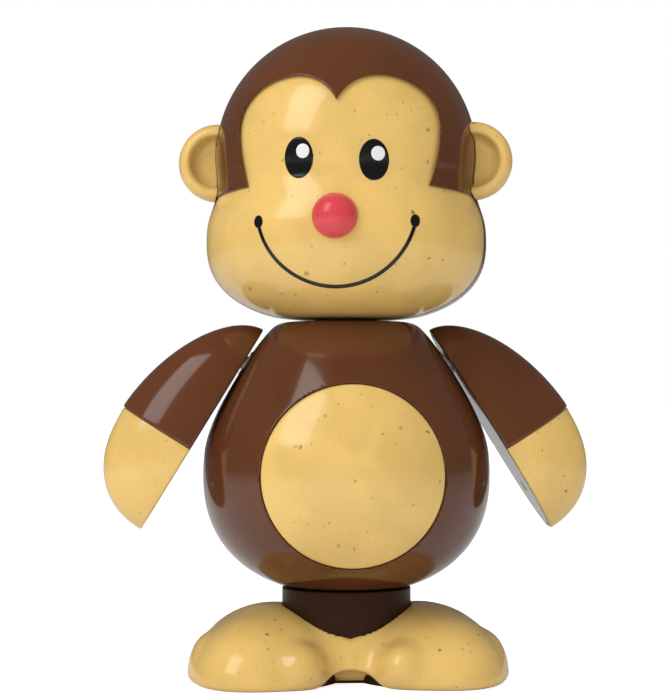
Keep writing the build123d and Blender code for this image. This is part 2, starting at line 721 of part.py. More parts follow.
tenon_slots = tenon_block.part + mirror(tenon_block.part, about=left_side)

head_bosses = rod(2.8, -40, 40, head_screw_places) & hood_cavity
face = (face_skin - head_cavity) & front_head & face_window
face = face - neck_hole - rod(NOSE_STEM_R, -40, -10, [(0, NOSE_Z)])
face = face + (head_bosses & front_head & rod(4, -60, 0, head_screw_places[1:]))
face = face - rod(SCREW_R - 0.1, HEAD_PARTING_Y - 7, 0, head_screw_places[1:])
keep("face_shell", face.moved(head_turn))

hood = ((head_skin - hood_cavity) & front_head) - (heart_window(0.05) + below_hood())
hood = hood - tenon_slots
hood = hood + (head_bosses & front_head & rod(4, -60, 0, head_screw_places[:1]))
hood = hood - rod(SCREW_R - 0.1, HEAD_PARTING_Y - 7, 0, head_screw_places[:1])
keep("head_hood", hood.moved(head_turn))

rear = (head_skin - hood_cavity) & rear_head
rear = rear - neck_hole - tenon_slots
rear = rear + (head_bosses & rear_head)
rear = rear - rod(SCREW_R + 0.1, HEAD_PARTING_Y - 1, 40, head_screw_places)
rear = rear - rod(SCREW_HEAD_R + 0.2, 6, 60, head_screw_places)
keep("head_rear_shell", rear.moved(head_turn))

head_screws = rod(SCREW_R - 0.1, HEAD_PARTING_Y - 6.5, 6, head_screw_places)
keep("head_screws", (head_screws + rod(SCREW_HEAD_R, 6, 7.6, head_screw_places)).moved(head_turn))

keep("ear_right", ear_right.moved(head_turn))
keep("ear_left", ear_left.moved(head_turn))

nose_y = -29.6
with BuildPart() as nose_ball:
    Sphere(NOSE_R)
nose = nose_ball.part.moved(Location((0, nose_y, NOSE_Z))) - head_form(-0.02, HOOD_PROUD - 0.02)
nose = nose + rod(NOSE_STEM_R - 0.03, -30.6, -27.0, [(0, NOSE_Z)])
keep("nose", nose.moved(head_turn))

os.makedirs("parts", exist_ok=True)
for name, piece in finished.items():
    piece.label = name
    export_step(piece, f"parts/{name}.step")
    print(f"{name:20s} solids {len(piece.solids())}  volume {piece.volume:9.1f}")
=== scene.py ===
"""A wind-up toy monkey: turned glossy shells, a speckled bio-plastic face and feet, and a winding key.

Lengths inside the classes are millimetres; meshes are written in metres.
"""
import logging
import math
from dataclasses import dataclass
from enum import Enum
from typing import Callable, Optional, Sequence

import bpy
import numpy as np
from mathutils import Matrix, Vector


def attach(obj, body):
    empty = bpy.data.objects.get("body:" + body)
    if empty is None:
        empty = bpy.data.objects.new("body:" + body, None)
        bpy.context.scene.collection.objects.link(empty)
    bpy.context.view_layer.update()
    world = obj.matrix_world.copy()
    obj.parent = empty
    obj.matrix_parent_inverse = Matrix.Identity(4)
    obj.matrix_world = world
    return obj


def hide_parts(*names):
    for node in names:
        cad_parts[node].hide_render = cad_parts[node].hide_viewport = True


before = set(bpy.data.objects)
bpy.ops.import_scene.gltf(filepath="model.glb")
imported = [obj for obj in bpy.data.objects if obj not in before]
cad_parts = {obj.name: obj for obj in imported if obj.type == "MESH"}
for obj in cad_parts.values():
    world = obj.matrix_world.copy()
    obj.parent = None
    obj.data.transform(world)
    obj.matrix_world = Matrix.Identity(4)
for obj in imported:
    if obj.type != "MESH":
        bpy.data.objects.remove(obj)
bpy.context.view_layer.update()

MM = 0.001
LOG = logging.getLogger("monkey")

Array = np.ndarray
Field = Callable[[Array, Array, Array], Array]


class Body(Enum):
    """Rigid bodies that the pieces ride on."""

    BASE = "base"
    TORSO = "torso"
    HEAD = "head"
    ARM_RIGHT = "arm_right"
    ARM_LEFT = "arm_left"
    WINDING = "winding"


class Side(Enum):
    """Which side of the toy a mirrored piece is on, as the sign of X."""

    RIGHT = 1
    LEFT = -1


# --------------------------------------------------------------------------- distance fields
def soft_union(a: Array, b: Array, blend: float) -> Array:
    """Union of two distance fields with a fillet.

    Args:
        a: First field.
        b: Second field.
        blend: Width of the fillet in millimetres.

    Returns:
        The blended field.
    """
    overlap = np.maximum(blend - np.abs(a - b), 0.0) / blend
    return np.minimum(a, b) - overlap * overlap * blend * 0.25


def soft_cut(a: Array, b: Array, blend: float) -> Array:
    """Intersection of two distance fields with a rounded edge.

    Args:
        a: First field.
        b: Second field, negative where material stays.
        blend: Width of the rounding in millimetres.

    Returns:
        The blended field.
    """
    return -soft_union(-a, -b, blend)


def egg(
    radius: Array,
    height: Array,
    across: float,
    up: tuple[float, float],
    down: tuple[float, float],
    steep: float | Array = 1.0,
) -> Array:
    """Distance to a turned egg whose upper and lower halves have their own length and squareness.

    Args:
        radius: Distance from the axis.
        height: Height above the widest place.
        across: Largest radius.
        up: Length and exponent of the upper half.
        down: Length and exponent of the lower half.
        steep: How fast the radius grows with distance, where the egg is flattened.

    Returns:
        Approximate signed distance.
    """
    length = np.where(height > 0, up[0], down[0])
    power = np.where(height > 0, up[1], down[1])
    side = np.maximum(np.abs(radius), 1e-6) / across
    rise = np.maximum(np.abs(height), 1e-6) / length
    total = np.maximum(side**power + rise**power, 1e-9)
    value = total ** (1 / power)
    slope = value / total
    gradient = np.hypot(slope * side ** (power - 1) / across * steep, slope * rise ** (power - 1) / length)
    return (value - 1) / np.maximum(gradient, 1e-4)


def ellipsoid(x: Array, y: Array, z: Array, centre: Sequence[float], radii: Sequence[float]) -> Array:
    """Approximate signed distance to an ellipsoid.

    Args:
        x: X coordinates.
        y: Y coordinates.
        z: Z coordinates.
        centre: Its centre.
        radii: Its three semi-axes.

    Returns:
        Signed distance.
    """
    dx, dy, dz = x - centre[0], y - centre[1], z - centre[2]
    near = np.sqrt((dx / radii[0]) ** 2 + (dy / radii[1]) ** 2 + (dz / radii[2]) ** 2)
    far = np.sqrt((dx / radii[0] ** 2) ** 2 + (dy / radii[1] ** 2) ** 2 + (dz / radii[2] ** 2) ** 2)
    return near * (near - 1) / np.maximum(far, 1e-6)


def shell(skin: Array, wall: float) -> Array:
    """Hollow out a solid field, leaving a wall under its skin."""
    return np.maximum(skin, -(skin + wall))


@dataclass(frozen=True)
class Mould:
    """Turns a distance field into a smooth closed mesh.

    Attributes:
        low: Lowest corner of the space to search, in millimetres.
        high: Highest corner.
        step: Size of a mesh cell.
    """

    low: tuple[float, float, float]
    high: tuple[float, float, float]
    step: float = 0.4

    COARSE = 4
    REACH = 5.2
    PULLS = 4
    NUDGE = 0.03

    def _samples(self, solid: Field) -> tuple[Array, Array]:
        """Sample the field on a grid, finely only near the surface.

        Args:
            solid: The field.

        Returns:
            Grid values and the grid's first corner.
        """
        low = np.array(self.low) - 2.5 * self.step
        block = self.COARSE * self.step
        counts = [math.ceil((end - start + 5 * self.step) / block) for start, end in zip(low, self.high)]
        coarse = [low[i] + block * np.arange(counts[i]) + 1.5 * self.step for i in range(3)]
        rough = solid(*np.meshgrid(*coarse, indexing="ij"))
        near = np.abs(rough) < self.REACH * self.step
        values = rough
        for axis in range(3):
            values = np.repeat(values, self.COARSE, axis=axis)
            near = np.repeat(near, self.COARSE, axis=axis)
        where = np.nonzero(near)
        values[where] = solid(*(low[i] + self.step * where[i] for i in range(3)))
        return values, low

    def cast(self, solid: Field) -> tuple[Array, Array, Array]:
        """Mesh the field's zero surface with quads and pull the vertices onto it.

        Args:
            solid: The field, negative inside.

        Returns:
            Vertices, quads and vertex normals.
        """
        values, low = self._samples(solid)
        inside = values < 0
        span = [count - 1 for count in inside.shape]
        corners = sum(
            inside[i : i + span[0], j : j + span[1], k : k + span[2]].astype(int)
            for i in (0, 1)
            for j in (0, 1)
            for k in (0, 1)
        )
        mixed = (corners > 0) & (corners < 8)
        index = np.full(mixed.shape, -1, dtype=np.int64)
        index[mixed] = np.arange(mixed.sum())
        points = low + self.step * (np.argwhere(mixed) + 0.5)
        quads = []
        for axis in range(3):
            one, two = (axis + 1) % 3, (axis + 2) % 3
            first = np.take(inside, range(0, inside.shape[axis] - 1), axis=axis)
            second = np.take(inside, range(1, inside.shape[axis]), axis=axis)
            crossing = np.argwhere(first != second)
            crossing = crossing[(crossing[:, one] > 0) & (crossing[:, two] > 0)]
            crossing = crossing[
                (crossing[:, one] < inside.shape[one] - 1) & (crossing[:, two] < inside.shape[two] - 1)
            ]
            leaving = first[tuple(crossing.T)]
            ring = []
            for back_one, back_two in ((1, 1), (0, 1), (0, 0), (1, 0)):
                cell = crossing.copy()
                cell[:, one] -= back_one
                cell[:, two] -= back_two
                ring.append(index[tuple(cell.T)])
            ring = np.stack(ring, axis=1)
            ring[~leaving] = ring[~leaving][:, ::-1]
            quads.append(ring)
        for _ in range(self.PULLS):
            value, slope = self.slope(solid, points)
            points -= slope * (value / np.maximum((slope**2).sum(1), 0.05))[:, None]
        normals = self.slope(solid, points)[1]
        normals /= np.maximum(np.linalg.norm(normals, axis=1), 1e-9)[:, None]
        return points, np.concatenate(quads), normals

    @classmethod
    def slope(cls, solid: Field, points: Array) -> tuple[Array, Array]:
        """Value and gradient of the field at points, by central differences."""
        nudge = cls.NUDGE
        x, y, z = points.T
        slope = np.stack(
            [
                solid(x + nudge, y, z) - solid(x - nudge, y, z),
                solid(x, y + nudge, z) - solid(x, y - nudge, z),
                solid(x, y, z + nudge) - solid(x, y, z - nudge),
            ],
            axis=1,
        ) / (2 * nudge)
        return solid(x, y, z), slope


def mesh_object(name: str, points: Array, quads: Array, normals: Optional[Array] = None) -> bpy.types.Object:
    """Make a linked object from arrays.

    Args:
        name: Name of the object.
        points: Vertices in millimetres.
        quads: Faces with four corners each.
        normals: Vertex normals, or None for plain smooth shading.

    Returns:
        The object, with its place in its mesh.
    """
    mesh = bpy.data.meshes.new(name)
    mesh.vertices.add(len(points))
    mesh.vertices.foreach_set("co", (points * MM).astype(np.float32).ravel())
    mesh.loops.add(quads.size)
    mesh.loops.foreach_set("vertex_index", quads.astype(np.int32).ravel())
    mesh.polygons.add(len(quads))
    mesh.polygons.foreach_set("loop_start", np.arange(0, quads.size, 4, dtype=np.int32))
    mesh.polygons.foreach_set("loop_total", np.full(len(quads), 4, dtype=np.int32))
    mesh.update(calc_edges=True)
    mesh.validate()
    mesh.polygons.foreach_set("use_smooth", np.ones(len(mesh.polygons), dtype=bool))
    if normals is not None:
        mesh.normals_split_custom_set_from_vertices(normals.astype(np.float32))
    made = bpy.data.objects.new(name, mesh)
    bpy.context.scene.collection.objects.link(made)
    return made


def turned(points: Array, normals: Array, quads: Array, move: Matrix) -> tuple[Array, Array, Array]:
    """Carry a mesh from its own frame to the toy's.

    Args:
        points: Vertices.
        normals: Vertex normals.
        quads: Faces.
        move: The transform, a mirror included.

    Returns:
        Moved vertices, quads with their winding kept outward, and normals.
    """
    turn = np.array(move.to_3x3())
    moved = points @ turn.T + np.array(move.translation)
    if move.to_3x3().determinant() < 0:
        quads = quads[:, ::-1]
    return moved, quads, normals @ turn.T


def settle(
    piece: bpy.types.Object, body: Body, material: bpy.types.Material, nodes: Sequence[str] = ()
) -> bpy.types.Object:
    """Give a finished piece its material, body and the nodes it stands for.

    Args:
        piece: The object.
        body: The body it rides on.
        material: Its material.
        nodes: CAD nodes that it replaces.

    Returns:
        The piece.
    """
    piece.data.materials.clear()
    piece.data.materials.append(material)
    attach(piece, body.value)
    if nodes:
        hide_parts(*nodes)
    LOG.info("%s: %d faces on %s", piece.name, len(piece.data.polygons), body.value)
    return piece


# --------------------------------------------------------------------------- shader groups and finishes
class Sheet:
    """A node tree being laid out, with short calls to place and join nodes."""

    def __init__(self, tree: bpy.types.NodeTree) -> None:
        """Start on a tree, emptied first."""
        self.tree = tree
        tree.nodes.clear()
        self._count = 0

    def place(self, kind: str, values: Optional[dict] = None, **settings: object) -> bpy.types.Node:
        """Place a node.

        Args:
            kind: Blender's node type.
            values: Input values by socket name; a socket is joined, anything else is set.
            settings: Attributes of the node.

        Returns:
            The node.
        """
        node = self.tree.nodes.new(kind)
        self._count += 1
        node.location = (self._count * 180, -(self._count % 4) * 160)
        for key, value in settings.items():
            setattr(node, key, value)
        for key, value in (values or {}).items():
            self.feed(value, node.inputs[key])
        return node

    def feed(self, value: object, socket: bpy.types.NodeSocket) -> None:
        """Join a socket to another, or set its value."""
        if isinstance(value, bpy.types.NodeSocket):
            self.tree.links.new(value, socket)
        else:
            socket.default_value = value

    def ramp(self, factor: bpy.types.NodeSocket, low: float, high: float) -> bpy.types.NodeSocket:
        """Stretch a factor so that it runs from 0 at low to 1 at high, clamped and eased."""
        node = self.place("ShaderNodeMapRange", interpolation_type="SMOOTHSTEP")
        self.feed(factor, node.inputs["Value"])
        node.inputs["From Min"].default_value = low
        node.inputs["From Max"].default_value = high
        return node.outputs["Result"]

    def mix(self, factor: object, first: object, second: object) -> bpy.types.NodeSocket:
        """Mix two colours."""
        node = self.place("ShaderNodeMix", data_type="RGBA")
        self.feed(factor, node.inputs[0])
        self.feed(first, node.inputs[6])
        self.feed(second, node.inputs[7])
        return node.outputs[2]

    def effect(self, tree: bpy.types.NodeTree, place: bpy.types.NodeSocket, **values: float) -> bpy.types.Node:
        """Place a shared shader group, fed with Object coordinates and its values by socket name."""
        node = self.place("ShaderNodeGroup", node_tree=tree)
        for key, value in {"Vector": place, **values}.items():
            self.feed(value, node.inputs[key])
        return node

    def math(self, operation: str, first: object, second: object) -> bpy.types.NodeSocket:
        """Join two values by an operation."""
        node = self.place("ShaderNodeMath", operation=operation)
        self.feed(first, node.inputs[0])
        self.feed(second, node.inputs[1])
        return node.outputs[0]


def new_group(name: str, inputs: dict[str, tuple[str, float]], outputs: dict[str, str]) -> bpy.types.NodeTree:
    """Make an empty shader group with its sockets.

    Args:
        name: Name of the group.
        inputs: Socket type and default by name.
        outputs: Socket type by name.

    Returns:
        The group.
    """
    group = bpy.data.node_groups.new(name, "ShaderNodeTree")
    for key, (kind, default) in inputs.items():
        socket = group.interface.new_socket(key, in_out="INPUT", socket_type=kind)
        if kind == "NodeSocketFloat":
            socket.default_value = default
    for key, kind in outputs.items():
        group.interface.new_socket(key, in_out="OUTPUT", socket_type=kind)
    return group


class SharedEffects:
    """The shader groups that several finishes use."""

    def __init__(self) -> None:
        """Build each group once."""
        self.flecks = self._flecks()
        self.clouding = self._clouding()
        self.ripple = self._ripple()

    @staticmethod
    def _flecks() -> bpy.types.NodeTree:
        """Sparse husk flecks, each bent out of round, as a mask."""
        group = new_group(
            "husk_flecks",
            {
                "Vector": ("NodeSocketVector", 0.0),
                "Spacing": ("NodeSocketFloat", 300.0),
                "Size": ("NodeSocketFloat", 0.1),
                "Share": ("NodeSocketFloat", 0.5),
            },
            {"Mask": "NodeSocketFloat", "Tone": "NodeSocketFloat"},
        )
        sheet = Sheet(group)
        inlet = sheet.place("NodeGroupInput").outputs
        bend = sheet.place("ShaderNodeTexNoise", {"Vector": inlet["Vector"], "Scale": 900.0, "Detail": 3.0})
        shifted = sheet.place(
            "ShaderNodeVectorMath", {0: bend.outputs["Color"], 1: (0.0011, 0.0011, 0.0011)}, operation="MULTIPLY"
        )
        bent = sheet.place("ShaderNodeVectorMath", {0: inlet["Vector"], 1: shifted.outputs[0]}, operation="ADD")
        cells = sheet.place("ShaderNodeTexVoronoi", {"Vector": bent.outputs[0], "Scale": inlet["Spacing"]})
        chance = sheet.place("ShaderNodeSeparateColor", {"Color": cells.outputs["Color"]})
        chosen = sheet.math("LESS_THAN", chance.outputs["Red"], inlet["Share"])
        reach = sheet.math("MULTIPLY", inlet["Size"], sheet.math("ADD", chance.outputs["Green"], 0.35))
        closeness = sheet.math("SUBTRACT", reach, cells.outputs["Distance"])
        spot = sheet.ramp(closeness, -0.012, 0.03)
        mask = sheet.math("MULTIPLY", spot, chosen)
        sheet.place("NodeGroupOutput", {"Mask": mask, "Tone": chance.outputs["Blue"]})
        return group

    @staticmethod
    def _clouding() -> bpy.types.NodeTree:
        """Slow drift of tone in a moulding, as a value about a half."""
        group = new_group(
            "moulding_cloud",
            {"Vector": ("NodeSocketVector", 0.0), "Scale": ("NodeSocketFloat", 60.0)},
            {"Tone": "NodeSocketFloat"},
        )
        sheet = Sheet(group)
        inlet = sheet.place("NodeGroupInput").outputs
        noise = sheet.place(
            "ShaderNodeTexNoise",
            {
                "Vector": inlet["Vector"],
                "Scale": inlet["Scale"],
                "Detail": 4.0,
                "Roughness": 0.55,
                "Distortion": 0.4,
            },
        )
        sheet.place("NodeGroupOutput", {"Tone": sheet.ramp(noise.outputs["Fac"], 0.32, 0.68)})
        return group

    @staticmethod
    def _ripple() -> bpy.types.NodeTree:
        """Very shallow waviness and grain of a polished moulding, as a normal."""
        group = new_group(
            "moulded_ripple",
            {
                "Vector": ("NodeSocketVector", 0.0),
                "Scale": ("NodeSocketFloat", 150.0),
                "Depth": ("NodeSocketFloat", 0.1),
            },
            {"Normal": "NodeSocketVector"},
        )
        sheet = Sheet(group)
        inlet = sheet.place("NodeGroupInput").outputs
        place, scale = inlet["Vector"], inlet["Scale"]
        wave = sheet.place("ShaderNodeTexNoise", {"Vector": place, "Scale": scale, "Detail": 2.0})
        fine_scale = sheet.math("MULTIPLY", scale, 9.0)
        fine = sheet.place("ShaderNodeTexNoise", {"Vector": place, "Scale": fine_scale, "Detail": 3.0})
        height = sheet.math("ADD", wave.outputs["Fac"], sheet.math("MULTIPLY", fine.outputs["Fac"], 0.12))
        bump = sheet.place("ShaderNodeBump", {"Strength": inlet["Depth"], "Distance": 0.0004, "Height": height})
        sheet.place("NodeGroupOutput", {"Normal": bump.outputs["Normal"]})
        return group


Colour = tuple[float, float, float]


@dataclass(frozen=True)
class Finish:
    """Common part of every finish.

    Attributes:
        name: Name of the material.
        colour: Linear base colour.
        roughness: Roughness of the polished surface.
    """

    name: str
    colour: Colour
    roughness: float

    def start(self) -> tuple[Sheet, bpy.types.Material, bpy.types.Node, bpy.types.NodeSocket]:
        """Make the material with its shader.

        Returns:
            The node sheet, the material, its shader and the Object coordinate socket.
        """
        made = bpy.data.materials.new(self.name)
        made.use_nodes = True
        made.diffuse_color = (*self.colour, 1.0)
        sheet = Sheet(made.node_tree)
        shader = sheet.place("ShaderNodeBsdfPrincipled")
        shader.inputs["Roughness"].default_value = self.roughness
        sheet.place("ShaderNodeOutputMaterial", {"Surface": shader.outputs[0]})
        place = sheet.place("ShaderNodeTexCoord").outputs["Object"]
        return sheet, made, shader, place

    def shade(self, factor: float) -> tuple[float, float, float, float]:
        """The base colour made lighter or darker."""
        return (*(min(1.0, part * factor) for part in self.colour), 1.0)


@dataclass(frozen=True)
class HuskPlastic(Finish):
    """Pale plastic filled with ground husk.

    Attributes:
        fleck: Linear colour of the darker flecks.
        glow: Weight of the light that passes under the surface.
    """

    fleck: Colour = (0.15, 0.06, 0.014)
    glow: float = 0.12

    def make(self, effects: SharedEffects) -> bpy.types.Material:
        """Build the material.

        Args:
            effects: The shared shader groups.

        Returns:
            The material.
        """
        sheet, made, shader, place = self.start()
        cloud = sheet.effect(effects.clouding, place, Scale=70.0)
        base = sheet.mix(cloud.outputs["Tone"], self.shade(0.93), self.shade(1.06))
        sizes = ((190.0, 0.1, 0.3, 0.75), (330.0, 0.12, 0.42, 0.7), (560.0, 0.14, 0.4, 0.5))
        total: object = 0.0
        for spacing, size, share, strength in sizes:
            flecks = sheet.effect(effects.flecks, place, Spacing=spacing, Size=size, Share=share)
            depth = sheet.math("ADD", sheet.math("MULTIPLY", flecks.outputs["Tone"], 0.6), 0.4)
            weight = sheet.math("MULTIPLY", sheet.math("MULTIPLY", flecks.outputs["Mask"], depth), strength)
            base = sheet.mix(weight, base, (*self.fleck, 1.0))
            total = sheet.math("ADD", total, weight)
        sheet.feed(base, shader.inputs["Base Color"])
        gloss = sheet.math("ADD", sheet.math("MULTIPLY", total, 0.12), self.roughness)
        sheet.feed(gloss, shader.inputs["Roughness"])
        ripple = sheet.effect(effects.ripple, place, Scale=120.0, Depth=0.12)
        sheet.feed(ripple.outputs["Normal"], shader.inputs["Normal"])
        shader.inputs["Subsurface Weight"].default_value = self.glow
        shader.inputs["Subsurface Radius"].default_value = (1.0, 0.55, 0.2)
        shader.inputs["Subsurface Scale"].default_value = 0.0025
        shader.inputs["IOR"].default_value = 1.5
        shader.inputs["Coat Weight"].default_value = 0.25
        shader.inputs["Coat Roughness"].default_value = 0.1
        return made


@dataclass(frozen=True)
class GlossPlastic(Finish):
    """Polished plain-coloured plastic.

    Attributes:
        drift: How far the tone drifts over the moulding.
        coat: Weight of the clear skin.
        ripple: Depth of the waviness.
        shine: Strength of the mirror reflection under the skin.
    """

    drift: float = 0.08
    coat: float = 0.25
    ripple: float = 0.1
    shine: float = 0.4

    def make(self, effects: SharedEffects) -> bpy.types.Material:
        """Build the material.

        Args:
            effects: The shared shader groups.

        Returns:
            The material.
        """
        sheet, made, shader, place = self.start()
        cloud = sheet.effect(effects.clouding, place, Scale=45.0)
        tone = cloud.outputs["Tone"]
        sheet.feed(
            sheet.mix(tone, self.shade(1 - self.drift), self.shade(1 + self.drift)), shader.inputs["Base Color"]
        )
        haze = sheet.effect(effects.clouding, place, Scale=210.0)
        gloss = sheet.math("ADD", sheet.math("MULTIPLY", haze.outputs["Tone"], 0.04), self.roughness)
        sheet.feed(gloss, shader.inputs["Roughness"])
        ripple = sheet.effect(effects.ripple, place, Scale=100.0, Depth=self.ripple)
        sheet.feed(ripple.outputs["Normal"], shader.inputs["Normal"])
        shader.inputs["IOR"].default_value = 1.5
        shader.inputs["Specular IOR Level"].default_value = self.shine
        shader.inputs["Coat Weight"].default_value = self.coat
        shader.inputs["Coat Roughness"].default_value = 0.04
        return made


@dataclass(frozen=True)
class TurnedMetal(Finish):
    """Machined metal with fine tool lines and a dull film in places."""

    def make(self, effects: SharedEffects) -> bpy.types.Material:
        """Build the material.

        Args:
            effects: The shared shader groups.

        Returns:
            The material.
        """
        sheet, made, shader, place = self.start()
        cloud = sheet.effect(effects.clouding, place, Scale=260.0)
        tone = cloud.outputs["Tone"]
        sheet.feed(sheet.mix(tone, self.shade(0.82), self.shade(1.08)), shader.inputs["Base Color"])
        sheet.feed(
            sheet.math("ADD", sheet.math("MULTIPLY", tone, 0.12), self.roughness), shader.inputs["Roughness"]
        )
        ripple = sheet.effect(effects.ripple, place, Scale=900.0, Depth=0.25)
        sheet.feed(ripple.outputs["Normal"], shader.inputs["Normal"])
        shader.inputs["Metallic"].default_value = 1.0
        return made


class Finishes:
    """Every material of the toy, made once."""

    def __init__(self) -> None:
        """Make the materials from their finishes."""
        self.husk = HuskPlastic("husk_plastic", (0.78, 0.515, 0.155), 0.17)
        self.brown = GlossPlastic("brown_plastic", (0.112, 0.036, 0.0125), 0.10)
        # Painted shade: this near-black brown stands in for the shadow the torso casts on the waist collar; the
        # inner brown pieces reuse the same finish.
        self.waist = GlossPlastic(
            "dark_plastic", (0.034, 0.0125, 0.0045), 0.34, coat=0.0, ripple=0.03, shine=0.12
        )
        self.nose = GlossPlastic("nose_plastic", (0.68, 0.055, 0.068), 0.24, drift=0.04, coat=0.3)
        self.key = GlossPlastic("key_plastic", (0.128, 0.045, 0.018), 0.16, coat=0.3)
        self.white = GlossPlastic("white_plastic", (0.62, 0.61, 0.60), 0.16, drift=0.03)
        self.ink = GlossPlastic("black_ink", (0.006, 0.0055, 0.006), 0.14, drift=0.2, ripple=0.04)
        self.spark = GlossPlastic("white_ink", (0.80, 0.79, 0.77), 0.2, drift=0.02, ripple=0.04)
        self.steel = TurnedMetal("steel", (0.56, 0.57, 0.58), 0.26)
        self.brass = TurnedMetal("brass", (0.60, 0.42, 0.15), 0.24)
        effects = SharedEffects()
        for name, finish in list(vars(self).items()):
            setattr(self, name, finish.make(effects))


# --------------------------------------------------------------------------- printed marks
@dataclass(frozen=True)
class Print:
    """A thin printed patch laid over a moulding, its sides sunk into the skin.

    Attributes:
        skin: Field of the moulding that carries it.
        proud: How far its face stands above the skin, in millimetres.
        sunk: How far its back lies under the skin.
        start_y: A place in front of the skin to look from.
        steps: Steps of the search for the skin.
    """

    skin: Field
    proud: float = 0.05
    sunk: float = 0.22
    start_y: float = -32.0
    steps: int = 14

    def _drop(self, x: Array, z: Array) -> tuple[Array, Array]:
        """Find the skin along Y and its outward direction."""
        y = np.full_like(x, self.start_y)
        for _ in range(self.steps):
            value = self.skin(x, y, z)
            slope = (self.skin(x, y + 0.02, z) - self.skin(x, y - 0.02, z)) / 0.04
            y = y - value / np.minimum(slope, -0.15)
        points = np.stack([x, y, z], axis=-1)
        normals = Mould.slope(self.skin, points.reshape(-1, 3))[1].reshape(points.shape)
        return points, normals / np.linalg.norm(normals, axis=-1, keepdims=True)

    def patch(self, across: Array) -> tuple[Array, Array]:
        """Make a closed patch from a grid of (x, z) places.

        Args:
            across: Grid of places, n by m by 2, running anticlockwise as seen from the front.

        Returns:
            Vertices and quads.
        """
        points, normals = self._drop(across[..., 0], across[..., 1])
        rows, columns = across.shape[:2]
        top = points + normals * self.proud
        under = points - normals * self.sunk
        vertices = np.concatenate([top.reshape(-1, 3), under.reshape(-1, 3)])
        index = np.arange(rows * columns).reshape(rows, columns)
        face = np.stack([index[:-1, :-1], index[1:, :-1], index[1:, 1:], index[:-1, 1:]], -1).reshape(-1, 4)
        back = face[:, ::-1] + rows * columns
        loop = np.concatenate([index[0, :-1], index[:-1, -1], index[-1, :0:-1], index[:0:-1, 0]])
        after = np.roll(loop, -1)
        rim = np.stack([loop, after, after + rows * columns, loop + rows * columns], -1)
        return vertices, np.concatenate([face, back, rim])

    @staticmethod
    def oval(x: float, z: float, half: tuple[float, float], cells: int = 22) -> Array:
        """Grid of places over an oval."""
        side = np.linspace(-1, 1, cells)
        a, b = np.meshgrid(side, side, indexing="ij")
        u = a * np.sqrt(1 - b * b / 2)
        v = b * np.sqrt(1 - a * a / 2)
        return np.stack([x + half[0] * u, z + half[1] * v], -1)

    def make(self, name: str, grids: Sequence[Array], move: Matrix) -> bpy.types.Object:
        """Make one object from several patches.

        Args:
            name: Name of the object.
            grids: The patches' places.
            move: Transform from the piece's own frame to the toy's.

        Returns:
            The object.
        """
        points, quads, count = [], [], 0
        for grid in grids:
            vertices, faces = self.patch(grid)
            points.append(vertices)
            quads.append(faces + count)
            count += len(vertices)
        merged = np.concatenate(points)
        moved, faces, _ = turned(merged, merged, np.concatenate(quads), move)
        return mesh_object(name, moved, outward(moved, faces))


def outward(points: Array, quads: Array) -> Array:
    """Turn the faces over if the closed mesh encloses a negative volume."""
    a, b, c, d = (points[quads[:, i]] for i in range(4))
    volume = np.einsum("ij,ij->i", a, np.cross(b, c)).sum() + np.einsum("ij,ij->i", a, np.cross(c, d)).sum()
    return quads if volume > 0 else quads[:, ::-1]


def cast_piece(
    name: str,
    mould: Mould,
    solid: Field,
    move: Matrix,
    body: Body,
    material: bpy.types.Material,
    node: str,
) -> bpy.types.Object:
    """Cast a field, place the piece in the toy's frame and dress it.

    Args:
        name: Name of the object.
        mould: Space and fineness of the mesh.
        solid: The field, in the piece's own frame.
        move: Transform from that frame to the toy's.
        body: The body it rides on.
        material: Its material.
        node: The CAD node that it replaces.

    Returns:
        The object.
    """
    points, quads, normals = mould.cast(solid)
    points, quads, normals = turned(points, normals, quads, move)
    return settle(mesh_object(name, points, outward(points, quads), normals), body, material, [node])


